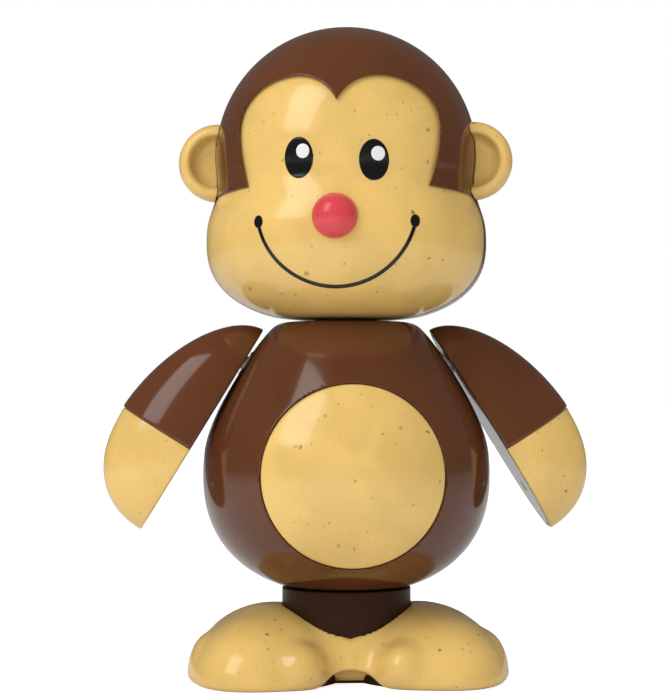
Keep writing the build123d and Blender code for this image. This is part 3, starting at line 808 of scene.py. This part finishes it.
# --------------------------------------------------------------------------- screws
@dataclass(frozen=True)
class ScrewSet:
    """Cross-recessed screws of one size, all pointing the same way, made by Geometry Nodes.

    Attributes:
        head_radius: Radius of the head.
        head_height: Height of the head.
        shank_radius: Radius of the shank.
        shank_length: Length of the shank under the head.
        recess: Half width and reach of the cross, in millimetres.
    """

    head_radius: float
    head_height: float
    shank_radius: float
    shank_length: float
    recess: tuple[float, float] = (0.28, 1.15)

    SIZES = ("Head Radius", "Head Height", "Shank Radius", "Shank Length", "Cross Width", "Cross Reach")

    def _tree(self, material: bpy.types.Material) -> bpy.types.NodeTree:
        """Build the node tree: one screw on every point, its head facing the local Z."""
        tree = bpy.data.node_groups.new("screw_rows", "GeometryNodeTree")
        tree.interface.new_socket("Places", in_out="INPUT", socket_type="NodeSocketGeometry")
        for size in self.SIZES:
            tree.interface.new_socket(size, in_out="INPUT", socket_type="NodeSocketFloat")
        tree.interface.new_socket("Facing", in_out="INPUT", socket_type="NodeSocketVector")
        tree.interface.new_socket("Screws", in_out="OUTPUT", socket_type="NodeSocketGeometry")
        sheet = Sheet(tree)
        inlet = sheet.place("NodeGroupInput").outputs

        def cylinder(radius: object, depth: object, rise: object) -> bpy.types.NodeSocket:
            """A closed cylinder whose middle is lifted."""
            body = sheet.place(
                "GeometryNodeMeshCylinder", {"Vertices": 40, "Radius": radius, "Depth": depth}, fill_type="NGON"
            )
            lift = sheet.place("ShaderNodeCombineXYZ", {"Z": rise})
            return sheet.place(
                "GeometryNodeTransform", {"Geometry": body.outputs["Mesh"], "Translation": lift.outputs[0]}
            ).outputs[0]

        head_half = sheet.math("MULTIPLY", inlet["Head Height"], 0.5)
        shank_half = sheet.math("MULTIPLY", inlet["Shank Length"], -0.5)
        head = cylinder(inlet["Head Radius"], inlet["Head Height"], head_half)
        crown_radius = sheet.math("MULTIPLY", inlet["Head Radius"], 0.86)
        crown_height = sheet.math("MULTIPLY", inlet["Head Height"], 1.16)
        crown = cylinder(crown_radius, crown_height, sheet.math("MULTIPLY", crown_height, 0.5))
        shank = cylinder(
            inlet["Shank Radius"],
            sheet.math("ADD", inlet["Shank Length"], 0.0002),
            sheet.math("ADD", shank_half, 0.0001),
        )
        bars = []
        depth = sheet.math("MULTIPLY", inlet["Head Height"], 0.9)
        for wide, long in (("Cross Width", "Cross Reach"), ("Cross Reach", "Cross Width")):
            size = sheet.place(
                "ShaderNodeCombineXYZ",
                {
                    "X": sheet.math("MULTIPLY", inlet[wide], 2.0),
                    "Y": sheet.math("MULTIPLY", inlet[long], 2.0),
                    "Z": depth,
                },
            )
            bar = sheet.place("GeometryNodeMeshCube", {"Size": size.outputs[0]})
            lift = sheet.place("ShaderNodeCombineXYZ", {"Z": crown_height})
            bars.append(
                sheet.place(
                    "GeometryNodeTransform", {"Geometry": bar.outputs["Mesh"], "Translation": lift.outputs[0]}
                ).outputs[0]
            )
        body = sheet.place("GeometryNodeMeshBoolean", operation="UNION", solver="MANIFOLD")
        for part in (head, crown, shank):
            tree.links.new(part, body.inputs["Mesh 2"])
        cut = sheet.place("GeometryNodeMeshBoolean", operation="DIFFERENCE", solver="MANIFOLD")
        tree.links.new(body.outputs["Mesh"], cut.inputs["Mesh 1"])
        for bar in bars:
            tree.links.new(bar, cut.inputs["Mesh 2"])
        turn = sheet.place("FunctionNodeAlignRotationToVector", {"Vector": inlet["Facing"]}, axis="Z")
        placed = sheet.place(
            "GeometryNodeInstanceOnPoints",
            {"Points": inlet["Places"], "Instance": cut.outputs["Mesh"], "Rotation": turn.outputs[0]},
        )
        real = sheet.place("GeometryNodeRealizeInstances", {"Geometry": placed.outputs[0]})
        welded = sheet.place("GeometryNodeMergeByDistance", {"Geometry": real.outputs[0], "Distance": 2e-6})
        dressed = sheet.place("GeometryNodeSetMaterial", {"Geometry": welded.outputs[0]})
        dressed.inputs["Material"].default_value = material
        sheet.place("NodeGroupOutput", {"Screws": dressed.outputs[0]})
        return tree

    def make(
        self,
        name: str,
        places: Sequence[Sequence[float]],
        facing: Sequence[float],
        material: bpy.types.Material,
        move: Optional[Matrix] = None,
    ) -> bpy.types.Object:
        """Make the screws at their places.

        Args:
            name: Name of the object.
            places: Where the undersides of the heads sit, in millimetres.
            facing: Direction that the heads face.
            material: The screws' metal.
            move: Transform to the toy's frame, if the places aren't in it.

        Returns:
            The object.
        """
        seed = bpy.data.meshes.new(name + "_places")
        seed.from_pydata([Vector(place) * MM for place in places], [], [])
        holder = bpy.data.objects.new(name + "_holder", seed)
        bpy.context.scene.collection.objects.link(holder)
        rows = holder.modifiers.new("screws", "NODES")
        rows.node_group = self._tree(material)
        lengths = (self.head_radius, self.head_height, self.shank_radius, self.shank_length, *self.recess)
        values = dict(zip(self.SIZES, (length * MM for length in lengths)))
        values["Facing"] = tuple(float(part) for part in facing)
        for item in rows.node_group.interface.items_tree:
            if item.in_out == "INPUT" and item.name in values:
                rows[item.identifier] = values[item.name]
        depsgraph = bpy.context.evaluated_depsgraph_get()
        baked = bpy.data.meshes.new_from_object(holder.evaluated_get(depsgraph))
        bpy.data.objects.remove(holder)
        baked.name = name
        if move is not None:
            scaled = move.copy()
            scaled.translation *= MM
            baked.transform(scaled)
        made = bpy.data.objects.new(name, baked)
        bpy.context.scene.collection.objects.link(made)
        return made


# --------------------------------------------------------------------------- head
@dataclass(frozen=True)
class Head:
    """Turned head: a speckled face under a brown hood, a rear shell, two ears, a nose and the printed marks."""

    finishes: Finishes
    yaw: float = -7.8
    dome_z: float = 113.4
    dome_r: float = 28.7
    hood_proud: float = 1.0
    jowl_z: float = 94.9
    jowl_r: float = 30.7
    jowl_rise: float = 18.0
    jowl_square: float = 2.45
    floor_z: float = 77.6
    parting_y: float = -5.0
    seam: float = 0.07
    ear_x: float = 27.9
    ear_z: float = 112.1
    ear_r: float = 8.7
    ear_half: float = 3.4
    nose_at: tuple[float, float, float] = (0.0, -29.6, 98.3)
    nose_r: float = 4.85
    wells: tuple[tuple[float, float], ...] = ((0.0, 135.5), (17.5, 87.5))
    brow: tuple[float, float] = (8.9, 118.0)
    brow_wide: tuple[float, float] = (12.3, 9.92)
    brow_tall: tuple[float, float] = (10.4, 21.6)
    eyes: tuple[tuple[float, float], ...] = ((-7.8, 110.8), (7.8, 110.2))
    eye_half: tuple[float, float] = (3.05, 4.3)
    smile: tuple[float, float, float] = (16.7, 100.7, 16.3)

    @property
    def turn(self) -> Matrix:
        """Rotation of the head about the neck."""
        return Matrix.Rotation(math.radians(self.yaw), 4, "Z")

    def skin(self, x: Array, y: Array, z: Array, proud: float = 0.0) -> Array:
        """Outer form of the head, its dome drawn in by the hood's height unless proud is given."""
        radius = np.hypot(x, y)
        dome = np.hypot(radius, z - self.dome_z) - (self.dome_r - self.hood_proud + proud)
        end = (self.jowl_rise, self.jowl_square)
        jowl = egg(radius, z - self.jowl_z, self.jowl_r, end, end)
        return soft_cut(soft_union(dome, jowl, 4.0), self.floor_z - z, 1.4)

    def opening(self, x: Array, z: Array) -> Array:
        """Front outline of the face opening: two brow lobes with a notch between them, and all below the hood."""
        ax = np.abs(x)
        dx, dz = ax - self.brow[0], z - self.brow[1]
        wide = np.where(dx > 0, *self.brow_wide)
        tall = np.where(dz > 0, *self.brow_tall)
        near = np.sqrt((dx / wide) ** 2 + (dz / tall) ** 2)
        far = np.sqrt((dx / wide**2) ** 2 + (dz / tall**2) ** 2)
        lobe = near * (near - 1) / np.maximum(far, 1e-6)
        middle = np.maximum(np.maximum(ax - 12.0, dz), 99.0 - z)
        window = np.minimum(lobe, middle)
        brim = z - (105.2 - 0.1 * np.maximum(ax - 18.8, 0))
        return np.minimum(window, brim)

    def face(self, x: Array, y: Array, z: Array) -> Array:
        """The face shell."""
        wall = shell(self.skin(x, y, z), 1.9)
        front = soft_cut(wall, y - (self.parting_y - self.seam), 0.4)
        return soft_cut(front, self.opening(x, z) - 1.6, 0.3)

    def hood(self, x: Array, y: Array, z: Array) -> Array:
        """The hood over the brow."""
        outer = self.skin(x, y, z, self.hood_proud)
        wall = np.maximum(outer, -(self.skin(x, y, z) - 0.04))
        edge = soft_cut(wall, -(self.opening(x, z) - self.seam), 0.3)
        return soft_cut(edge, y - (self.parting_y - self.seam), 0.4)

    def rear(self, x: Array, y: Array, z: Array) -> Array:
        """The rear shell with its screw wells."""
        outer = self.skin(x, y, z, self.hood_proud)
        wall = shell(outer, 2.0)
        for place_x, place_z in self.wells:
            off = np.hypot(np.abs(x) - place_x, z - place_z)
            post = np.maximum(np.maximum(off - 3.2, 5.0 - y), outer)
            wall = soft_union(wall, post, 0.5)
            wall = soft_cut(wall, -np.maximum(off - 2.25, 6.0 - y), 0.5)
        return soft_cut(wall, (self.parting_y + self.seam) - y, 0.4)

    def ear(self, x: Array, y: Array, z: Array) -> Array:
        """The right ear: a rounded disc with a dished front."""
        off = np.hypot(x - self.ear_x, z - self.ear_z)
        disc = soft_cut(off - self.ear_r, np.abs(y - self.parting_y) - self.ear_half, 5.0)
        dish = soft_cut(off - 5.5, y - (self.parting_y + 0.9), 2.5)
        rim = soft_cut(disc, -dish, 2.2)
        return np.maximum(rim, -(self.skin(x, y, z, self.hood_proud) - 0.04))

    def nose(self, x: Array, y: Array, z: Array) -> Array:
        """The ball nose, seated on the face."""
        ball = np.sqrt((x - self.nose_at[0]) ** 2 + (y - self.nose_at[1]) ** 2 + (z - self.nose_at[2]) ** 2)
        return soft_cut(ball - self.nose_r, -(self.skin(x, y, z) - 0.03), 0.5)

    def marks(self) -> None:
        """Print the eyes, their highlights and the smile on the face."""
        print_ink = Print(self.skin, 0.05)
        print_spark = Print(self.skin, 0.09)
        ovals = [Print.oval(*centre, self.eye_half) for centre in self.eyes]
        sparks = [Print.oval(x + 0.85, z + 1.35, (1.4, 1.5), 14) for x, z in self.eyes]
        radius, centre_z, end_x = self.smile
        swing = math.asin(end_x / radius)
        angles = np.linspace(-swing, swing, 121)
        widths = np.linspace(-0.36, 0.36, 7)
        arc = radius + widths[None, :]
        smile = np.stack([np.sin(angles)[:, None] * arc, centre_z - np.cos(angles)[:, None] * arc], -1)
        corner_z = centre_z - radius * math.cos(swing)
        corners = [Print.oval(side * end_x, corner_z + 0.5, (0.95, 1.35), 12) for side in (-1, 1)]
        ink, spark = ("dark_plastic", self.finishes.ink), ("white_plastic", self.finishes.spark)
        rows = (
            (print_ink, "eye_prints", ovals, ink),
            (print_ink, "smile_print", [smile, *corners], ink),
            (print_spark, "eye_spark_prints", sparks, spark),
        )
        for made_by, name, grids, (slot, material) in rows:
            settle(made_by.make(name, grids, self.turn), Body.HEAD, material)

    def build(self) -> None:
        """Make and dress every piece of the head."""
        low, high = (-31.5, -31.5, 77.0), (31.5, -4.6, 142.5)
        cast_piece(
            "face", Mould(low, (31.5, -4.6, 132.0), 0.42), self.face, self.turn,
            Body.HEAD, self.finishes.husk, "face_shell",
        )
        cast_piece(
            "hood", Mould((-31.5, -31.5, 98.0), high, 0.36), self.hood, self.turn,
            Body.HEAD, self.finishes.brown, "head_hood",
        )
        cast_piece(
            "head_rear", Mould((-31.5, -5.2, 77.0), (31.5, 31.5, 142.5), 0.5), self.rear, self.turn,
            Body.HEAD, self.finishes.brown, "head_rear_shell",
        )
        mirror_x = Matrix.Scale(-1, 4, (1, 0, 0))
        ear_mould = Mould((18.0, -9.0, 103.0), (37.2, -1.0, 121.5), 0.24)
        for side in Side:
            move = self.turn if side is Side.RIGHT else self.turn @ mirror_x
            name = "ear_" + side.name.lower()
            cast_piece(
                "carved_" + name, ear_mould, self.ear, move,
                Body.HEAD, self.finishes.husk, name,
            )
        x, y, z = self.nose_at
        nose_mould = Mould((x - 5.2, y - 5.2, z - 5.2), (x + 5.2, y + 5.2, z + 5.2), 0.16)
        cast_piece(
            "ball_nose", nose_mould, self.nose, self.turn,
            Body.HEAD, self.finishes.nose, "nose",
        )
        self.marks()
        screws = ScrewSet(2.0, 1.38, 1.0, 12.4)
        places = [(0.0, 6.0, 135.5), (-17.5, 6.0, 87.5), (17.5, 6.0, 87.5)]
        made = screws.make("head_screw_row", places, (0, 1, 0), self.finishes.steel, self.turn)
        settle(made, Body.HEAD, self.finishes.steel, ["head_screws"])


# --------------------------------------------------------------------------- torso
@dataclass(frozen=True)
class Torso:
    """Turned torso: two brown shells, a flush belly disc and the screws that hold it."""

    finishes: Finishes
    middle_z: float = 44.0
    radius: float = 31.4
    upper: tuple[float, float] = (38.0, 2.0)
    lower: tuple[float, float] = (26.0, 2.3)
    cone_r: float = 27.6
    cone_z: float = 60.0
    cone_lean: float = 31.5
    top_z: float = 77.45
    floor_z: float = 19.6
    belly_z: float = 44.6
    belly_r: float = 19.2
    seam: float = 0.07
    key_z: float = 42.0
    wells: tuple[tuple[float, float], ...] = ((18.0, 26.5), (21.5, 56.5))

    def skin(self, x: Array, y: Array, z: Array) -> Array:
        """Outer form of the torso."""
        radius = np.hypot(x, y)
        round_belly = egg(radius, z - self.middle_z, self.radius, self.upper, self.lower)
        lean = math.radians(self.cone_lean)
        cone = (radius - self.cone_r) * math.cos(lean) + (z - self.cone_z) * math.sin(lean)
        form = soft_cut(round_belly, cone, 3.0)
        form = soft_cut(form, z - self.top_z, 1.6)
        return soft_cut(form, self.floor_z - z, 0.8)

    def front(self, x: Array, y: Array, z: Array) -> Array:
        """Front shell with the pocket for the belly disc."""
        skin = self.skin(x, y, z)
        wall = shell(skin, 2.4)
        pocket = np.maximum(np.hypot(x, z - self.belly_z) - (self.belly_r + 0.09), np.maximum(y, -(skin + 1.35)))
        wall = soft_cut(wall, -pocket, 0.35)
        return soft_cut(wall, y + self.seam, 0.4)

    def rear(self, x: Array, y: Array, z: Array) -> Array:
        """Rear shell with the screw wells and the hole for the winding arbor."""
        skin = self.skin(x, y, z)
        wall = shell(skin, 2.0)
        for place_x, place_z in self.wells:
            off = np.hypot(np.abs(x) - place_x, z - place_z)
            wall = soft_union(wall, np.maximum(np.maximum(off - 3.1, 8.0 - y), skin), 0.5)
            wall = soft_cut(wall, -np.maximum(off - 2.25, 9.0 - y), 0.5)
        hole = np.hypot(x, z - self.key_z)
        wall = soft_union(wall, np.maximum(np.maximum(hole - 5.6, 26.0 - y), skin - 0.45), 1.0)
        wall = soft_cut(wall, -np.maximum(hole - 3.25, 12.0 - y), 0.5)
        return soft_cut(wall, self.seam - y, 0.4)

    def belly(self, x: Array, y: Array, z: Array) -> Array:
        """The belly disc, following the torso's skin."""
        skin = self.skin(x, y, z)
        plug = np.maximum(np.hypot(x, z - self.belly_z) - self.belly_r, y)
        return soft_cut(shell(skin, 1.3), plug, 0.5)

    def build(self) -> None:
        """Make and dress every piece of the torso."""
        still = Matrix.Identity(4)
        cast_piece(
            "torso_front", Mould((-32, -32, 19), (32, 0.3, 77.6), 0.46), self.front, still,
            Body.TORSO, self.finishes.brown, "body_front_shell",
        )
        cast_piece(
            "torso_rear", Mould((-32, -0.3, 19), (32, 32, 77.6), 0.46), self.rear, still,
            Body.TORSO, self.finishes.brown, "body_rear_shell",
        )
        cast_piece(
            "belly", Mould((-20, -32, 25), (20, -18, 64.5), 0.3), self.belly, still,
            Body.TORSO, self.finishes.husk, "belly_disc",
        )
        screws = ScrewSet(2.0, 1.38, 1.0, 15.4)
        places = [(side * x, 9.0, z) for side in (-1, 1) for x, z in self.wells]
        made = screws.make("torso_screw_row", places, (0, 1, 0), self.finishes.steel)
        settle(made, Body.TORSO, self.finishes.steel, ["torso_screws"])


# --------------------------------------------------------------------------- arms
@dataclass(frozen=True)
class Arm:
    """Half-egg arm: a brown sleeve, a speckled hand and a plate that closes the inner side."""

    finishes: Finishes
    side: Side
    shoulder: tuple[float, float, float] = (22.5, 0.0, 68.6)
    lean: float = 31.5
    middle: float = 22.5
    breadth: float = 17.15
    upper: tuple[float, float] = (30.5, 1.8)
    lower: tuple[float, float] = (20.4, 2.3)
    flatness: float = 0.62
    cuff: float = 22.0
    plate: float = 1.2
    sleeve_proud: float = 0.3

    @property
    def move(self) -> Matrix:
        """Transform from the arm's frame (X outward, Z up along it) to the toy's."""
        placed = Matrix.Translation(self.shoulder) @ Matrix.Rotation(math.radians(-self.lean), 4, "Y")
        return placed if self.side is Side.RIGHT else Matrix.Scale(-1, 4, (1, 0, 0)) @ placed

    def skin(self, x: Array, y: Array, z: Array) -> Array:
        """The whole egg."""
        radius = np.hypot(x, y / self.flatness)
        steep = np.hypot(x, y / self.flatness**2) / np.maximum(radius, 1e-6)
        return egg(radius, z + self.middle, self.breadth, self.upper, self.lower, steep)

    def sleeve(self, x: Array, y: Array, z: Array) -> Array:
        """The upper arm shell."""
        wall = shell(self.skin(x, y, z) - self.sleeve_proud, 2.1)
        wall = soft_cut(wall, 0.02 - x, 0.5)
        wall = soft_cut(wall, -np.maximum(self.skin(x, y, z) + 0.9, x - self.plate - 0.05), 0.3)
        return soft_cut(wall, -(z + self.cuff) + 0.03, 0.5)

    def hand(self, x: Array, y: Array, z: Array) -> Array:
        """The hand shell."""
        skin = self.skin(x, y, z)
        wall = soft_cut(shell(skin, 1.9), 0.02 - x, 0.5)
        wall = soft_cut(wall, -np.maximum(skin + 0.9, x - self.plate - 0.05), 0.3)
        return soft_cut(wall, z + self.cuff + 0.03, 0.3)

    def inner_plate(self, x: Array, y: Array, z: Array) -> Array:
        """The plate in the arm's inner side, with its holes for the axle and the screw."""
        slab = np.maximum(x - self.plate, 0.0 - x)
        plate = soft_cut(self.skin(x, y, z) + 1.0, slab, 0.4)
        plate = soft_cut(plate, 2.2 - np.hypot(y, z), 0.3)
        return soft_cut(plate, 1.1 - np.hypot(y, z + 32.0), 0.3)

    def build(self) -> None:
        """Make and dress the pieces of one arm."""
        word = self.side.name.lower()
        body = Body["ARM_" + self.side.name]
        low, high = (-0.4, -11.2, -43.6), (17.9, 11.2, 8.8)
        sleeve_mould = Mould((low[0], low[1], -self.cuff - 0.4), high, 0.27)
        cast_piece(
            "sleeve_" + word, sleeve_mould, self.sleeve, self.move,
            body, self.finishes.brown, "upper_arm_" + word,
        )
        hand_mould = Mould(low, (high[0], high[1], -self.cuff + 0.4), 0.27)
        cast_piece(
            "paw_" + word, hand_mould, self.hand, self.move,
            body, self.finishes.husk, "hand_" + word,
        )
        plate_mould = Mould(low, (1.6, high[1], high[2]), 0.27)
        cast_piece(
            "inner_plate_" + word, plate_mould, self.inner_plate, self.move,
            body, self.finishes.brown, "arm_plate_" + word,
        )


# --------------------------------------------------------------------------- feet and waist
@dataclass(frozen=True)
class Feet:
    """The base: two speckled feet in one moulding, the brown waist collar and the screws under them."""

    finishes: Finishes
    main: tuple[tuple[float, float, float], ...] = ((15.8, 0.0, 0.0), (18.3, 25.0, 16.0))
    inner_toe: tuple[tuple[float, float, float], ...] = ((11.0, -19.2, 4.2), (5.4, 6.0, 5.4))
    big_toe: tuple[tuple[float, float, float], ...] = ((22.6, -11.6, 0.6), (10.6, 13.6, 11.4))
    outer_toe: tuple[tuple[float, float, float], ...] = ((29.4, -7.0, 2.2), (5.1, 9.2, 8.2))
    instep: tuple[float, float, float] = (17.0, 18.2, 18.0)
    valley: tuple[float, float] = (9.9, 0.41)
    arch: tuple[float, float, float] = (5.6, 3.4, -13.0)
    collar_r: float = 14.1
    collar_low: float = 5.0
    collar_high: float = 19.5
    sole: float = 1.8
    screw_places: tuple[tuple[float, float], ...] = ((24.0, 8.0), (24.0, -11.0))

    def form(self, x: Array, y: Array, z: Array) -> Array:
        """Both feet as one rounded solid."""
        ax = np.abs(x)
        solid = soft_union(ellipsoid(ax, y, z, *self.main), ellipsoid(ax, y, z, *self.big_toe), 5.0)
        low, rise = self.valley
        saddle = (z - low - rise * ax) / math.hypot(1, rise)
        instep = soft_cut(ellipsoid(x, y, z, (0, 0, 0), self.instep), saddle, 1.5)
        solid = soft_union(solid, instep, 2.4)
        solid = soft_union(solid, ellipsoid(ax, y, z, *self.inner_toe), 1.6)
        solid = soft_union(solid, ellipsoid(ax, y, z, *self.outer_toe), 1.2)
        half, height, back = self.arch
        tunnel = np.maximum(np.hypot(x, z * half / height) - half, y - back) * 0.7
        solid = soft_cut(solid, -tunnel, 1.2)
        return soft_cut(solid, 0.02 - z, 2.2)

    def moulding(self, x: Array, y: Array, z: Array) -> Array:
        """The feet with the waist socket and the recess for the sole plate."""
        ax = np.abs(x)
        solid = self.form(x, y, z)
        socket = np.maximum(np.hypot(x, y) - (self.collar_r + 0.08), self.collar_low - z)
        solid = soft_cut(solid, -socket, 0.4)
        oval = np.hypot((ax - 16.0) / 15.7, y / 21.7)
        recess = np.minimum((oval - 1) * 15.7, np.maximum(ax - 12.1, np.abs(y) - 12.1))
        return np.maximum(solid, -np.maximum(recess, z - self.sole))

    def collar(self, x: Array, y: Array, z: Array) -> Array:
        """The waist collar, a plain ring with a broken top edge."""
        radius = np.hypot(x, y)
        ring = soft_cut(radius - self.collar_r, z - self.collar_high, 0.3)
        ring = np.maximum(ring, self.collar_low - z)
        bore = np.where(z > self.collar_high - 2.2, 9.0, 11.9)
        return np.maximum(ring, bore - radius)

    def build(self) -> None:
        """Make and dress the pieces of the base."""
        still = Matrix.Identity(4)
        cast_piece(
            "feet", Mould((-35.6, -27, -0.2), (35.6, 25.6, 16.4), 0.42), self.moulding, still,
            Body.BASE, self.finishes.husk, "feet_moulding",
        )
        # The collar's very dark finish is painted shade from the torso above it.
        cast_piece(
            "waist", Mould((-14.4, -14.4, 4.6), (14.4, 14.4, 19.6), 0.26), self.collar, still,
            Body.BASE, self.finishes.waist, "waist_collar",
        )
        screws = ScrewSet(2.0, 0.78, 1.0, 5.4, (0.26, 1.1))
        places = [(side * x, y, 1.0) for side in (-1, 1) for x, y in self.screw_places]
        made = screws.make("base_screw_row", places, (0, 0, -1), self.finishes.steel)
        settle(made, Body.BASE, self.finishes.steel, ["base_screws"])


# --------------------------------------------------------------------------- winding key and clockwork
@dataclass(frozen=True)
class WindingKey:
    """The butterfly key on the back."""

    finishes: Finishes
    centre_z: float = 42.0
    wing: tuple[float, float, float] = (6.3, 42.6, 6.2)
    hole: tuple[float, float] = (6.6, 2.9)
    hub: tuple[float, float, float] = (3.0, 29.2, 40.0)

    def form(self, x: Array, y: Array, z: Array) -> Array:
        """Two wings with holes, on a round hub."""
        ax, up = np.abs(x), z - self.centre_z
        wing_x, wing_y, wing_r = self.wing
        outline = np.hypot(ax - wing_x, y - wing_y) - wing_r
        root = np.maximum(ax - 2.8, np.abs(y - 40.6) - 4.0)
        outline = soft_union(outline, root, 2.0)
        outline = soft_cut(outline, self.hole[1] - np.hypot(ax - self.hole[0], y - wing_y), 0.6)
        wings = soft_cut(outline, np.abs(up) - 1.6, 1.5)
        hub_r, near, far = self.hub
        hub = soft_cut(np.hypot(x, up) - hub_r, np.abs(y - (near + far) / 2) - (far - near) / 2, 0.8)
        return np.maximum(soft_union(wings, hub, 1.2), -np.maximum(np.hypot(x, up) - 1.85, y - 34.0))

    def build(self) -> None:
        """Make and dress the key."""
        cast_piece(
            "key", Mould((-13, 28.8, 38.5), (13, 49.2, 45.5), 0.26), self.form, Matrix.Identity(4),
            Body.WINDING, self.finishes.key, "winding_key",
        )


@dataclass(frozen=True)
class Clockwork:
    """The metal and plastic pieces inside, which keep their own shapes and get their finishes."""

    finishes: Finishes
    steel: tuple[str, ...] = (
        "motor_front_plate", "motor_rear_plate", "motor_pillars", "motor_screws", "mainspring", "winding_arbor",
        "arm_axle_right", "arm_axle_left", "arm_screw_right", "arm_screw_left",
    )
    brass: tuple[str, ...] = ("great_wheel",)
    white: tuple[str, ...] = (
        "shoulder_bushes", "second_wheel", "governor", "crank_gear", "crank_disc", "drive_yoke",
    )
    brown: tuple[str, ...] = ("base_plate", "waist_hub", "neck_hub", "neck_clip")

    def build(self) -> None:
        """Give every kept node its finish."""
        groups = (
            (self.steel, self.finishes.steel),
            (self.brass, self.finishes.brass),
            (self.white, self.finishes.white),
            (self.brown, self.finishes.waist),
        )
        for names, material in groups:
            for name in names:
                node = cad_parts[name]
                node.data.materials.clear()
                node.data.materials.append(material)
                LOG.info("%s keeps its shape", name)


# --------------------------------------------------------------------------- studio
@dataclass(frozen=True)
class Lamp:
    """A rectangular soft light.

    Attributes:
        name: Name of the light.
        place: Where it stands, in metres.
        aim: The point it faces.
        size: Width and height in metres.
        power: Power in watts.
        mirrored: Whether polished surfaces show it.
    """

    name: str
    place: tuple[float, float, float]
    aim: tuple[float, float, float]
    size: tuple[float, float]
    power: float
    mirrored: bool = True

    def build(self) -> None:
        """Put the light in the scene."""
        data = bpy.data.lights.new(self.name, "AREA")
        data.shape = "RECTANGLE"
        data.size, data.size_y = self.size
        data.energy = self.power
        lamp = bpy.data.objects.new(self.name, data)
        lamp.location = self.place
        lamp.visible_glossy = self.mirrored
        lamp.rotation_euler = (Vector(self.aim) - Vector(self.place)).to_track_quat("-Z", "Y").to_euler()
        bpy.context.scene.collection.objects.link(lamp)


@dataclass(frozen=True)
class Studio:
    """White floor and surroundings, the lights and the camera."""

    to_left: float = 3.3
    distance: float = 0.440
    eye_z: float = 0.064
    aim_side: float = -0.0025
    aim_z: float = 0.0713
    lens: float = 102.9
    backdrop: float = 1.0
    surround: float = 0.44
    reflected: float = 0.12
    floor_lift: float = 0.78
    lamps: tuple[Lamp, ...] = (
        Lamp("key_box", (-0.50, -0.42, 0.62), (0, 0, 0.08), (0.38, 0.58), 1.9),
        Lamp("key_soft", (-0.45, -0.50, 0.50), (0, 0, 0.08), (0.60, 0.60), 1.6, False),
        Lamp("front_soft", (-0.10, -0.90, 0.20), (0, 0, 0.07), (0.70, 0.34), 1.6, False),
        Lamp("fill_box", (0.75, -0.45, 0.35), (0, 0, 0.07), (0.30, 0.70), 0.5, False),
        Lamp("top_box", (0.05, 0.10, 0.85), (0, 0, 0.05), (0.60, 0.60), 1.2, False),
    )

    def floor(self) -> None:
        """Lay a wide white floor."""
        half = 4.0
        mesh = bpy.data.meshes.new("floor")
        corners = [(-half, -half, 0), (half, -half, 0), (half, half, 0), (-half, half, 0)]
        mesh.from_pydata(corners, [], [(0, 1, 2, 3)])
        made = bpy.data.materials.new("floor_white")
        made.use_nodes = True
        sheet = Sheet(made.node_tree)
        seen = sheet.place("ShaderNodeLightPath").outputs["Is Camera Ray"]
        shader = sheet.place("ShaderNodeBsdfPrincipled")
        shader.inputs["Base Color"].default_value = (0.9, 0.9, 0.9, 1)
        shader.inputs["Roughness"].default_value = 0.9
        shader.inputs["Emission Color"].default_value = (1, 1, 1, 1)
        sheet.feed(sheet.math("MULTIPLY", seen, self.floor_lift), shader.inputs["Emission Strength"])
        sheet.place("ShaderNodeOutputMaterial", {"Surface": shader.outputs[0]})
        mesh.materials.append(made)
        floor = bpy.data.objects.new("floor", mesh)
        bpy.context.scene.collection.objects.link(floor)

    def world(self) -> None:
        """Surround the toy with even white."""
        world = bpy.data.worlds.new("white_room")
        world.use_nodes = True
        sheet = Sheet(world.node_tree)
        ray = sheet.place("ShaderNodeLightPath").outputs
        seen = sheet.math("MULTIPLY", ray["Is Camera Ray"], self.backdrop - self.surround)
        mirrored = sheet.math("MULTIPLY", ray["Is Glossy Ray"], self.reflected - self.surround)
        strength = sheet.math("ADD", sheet.math("ADD", seen, mirrored), self.surround)
        background = sheet.place("ShaderNodeBackground", {"Color": (1, 1, 1, 1), "Strength": strength})
        sheet.place("ShaderNodeOutputWorld", {"Surface": background.outputs[0]})
        bpy.context.scene.world = world
        bpy.context.scene.view_settings.view_transform = "Standard"

    def camera(self) -> None:
        """Set up the camera in front of the toy, a little to one side."""
        turn = math.radians(self.to_left)
        right = Vector((math.cos(turn), -math.sin(turn), 0))
        ahead = Vector((math.sin(turn), math.cos(turn), 0))
        data = bpy.data.cameras.new("camera")
        data.lens = self.lens
        data.sensor_width = 36.0
        data.clip_start = 0.01
        place = -ahead * self.distance + Vector((0, 0, self.eye_z))
        aim = right * self.aim_side + Vector((0, 0, self.aim_z))
        camera = bpy.data.objects.new("camera", data)
        camera.location = place
        camera.rotation_euler = (aim - place).to_track_quat("-Z", "Y").to_euler()
        bpy.context.scene.collection.objects.link(camera)
        bpy.context.scene.camera = camera

    def build(self) -> None:
        """Set up the studio."""
        self.floor()
        self.world()
        for lamp in self.lamps:
            lamp.build()
        self.camera()


def main() -> None:
    """Build the toy and its studio."""
    logging.basicConfig(level=logging.INFO, format="%(name)s: %(message)s")
    finishes = Finishes()
    Head(finishes).build()
    Torso(finishes).build()
    for side in Side:
        Arm(finishes, side).build()
    Feet(finishes).build()
    WindingKey(finishes).build()
    Clockwork(finishes).build()
    Studio().build()
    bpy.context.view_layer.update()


if __name__ == "__main__":
    main()
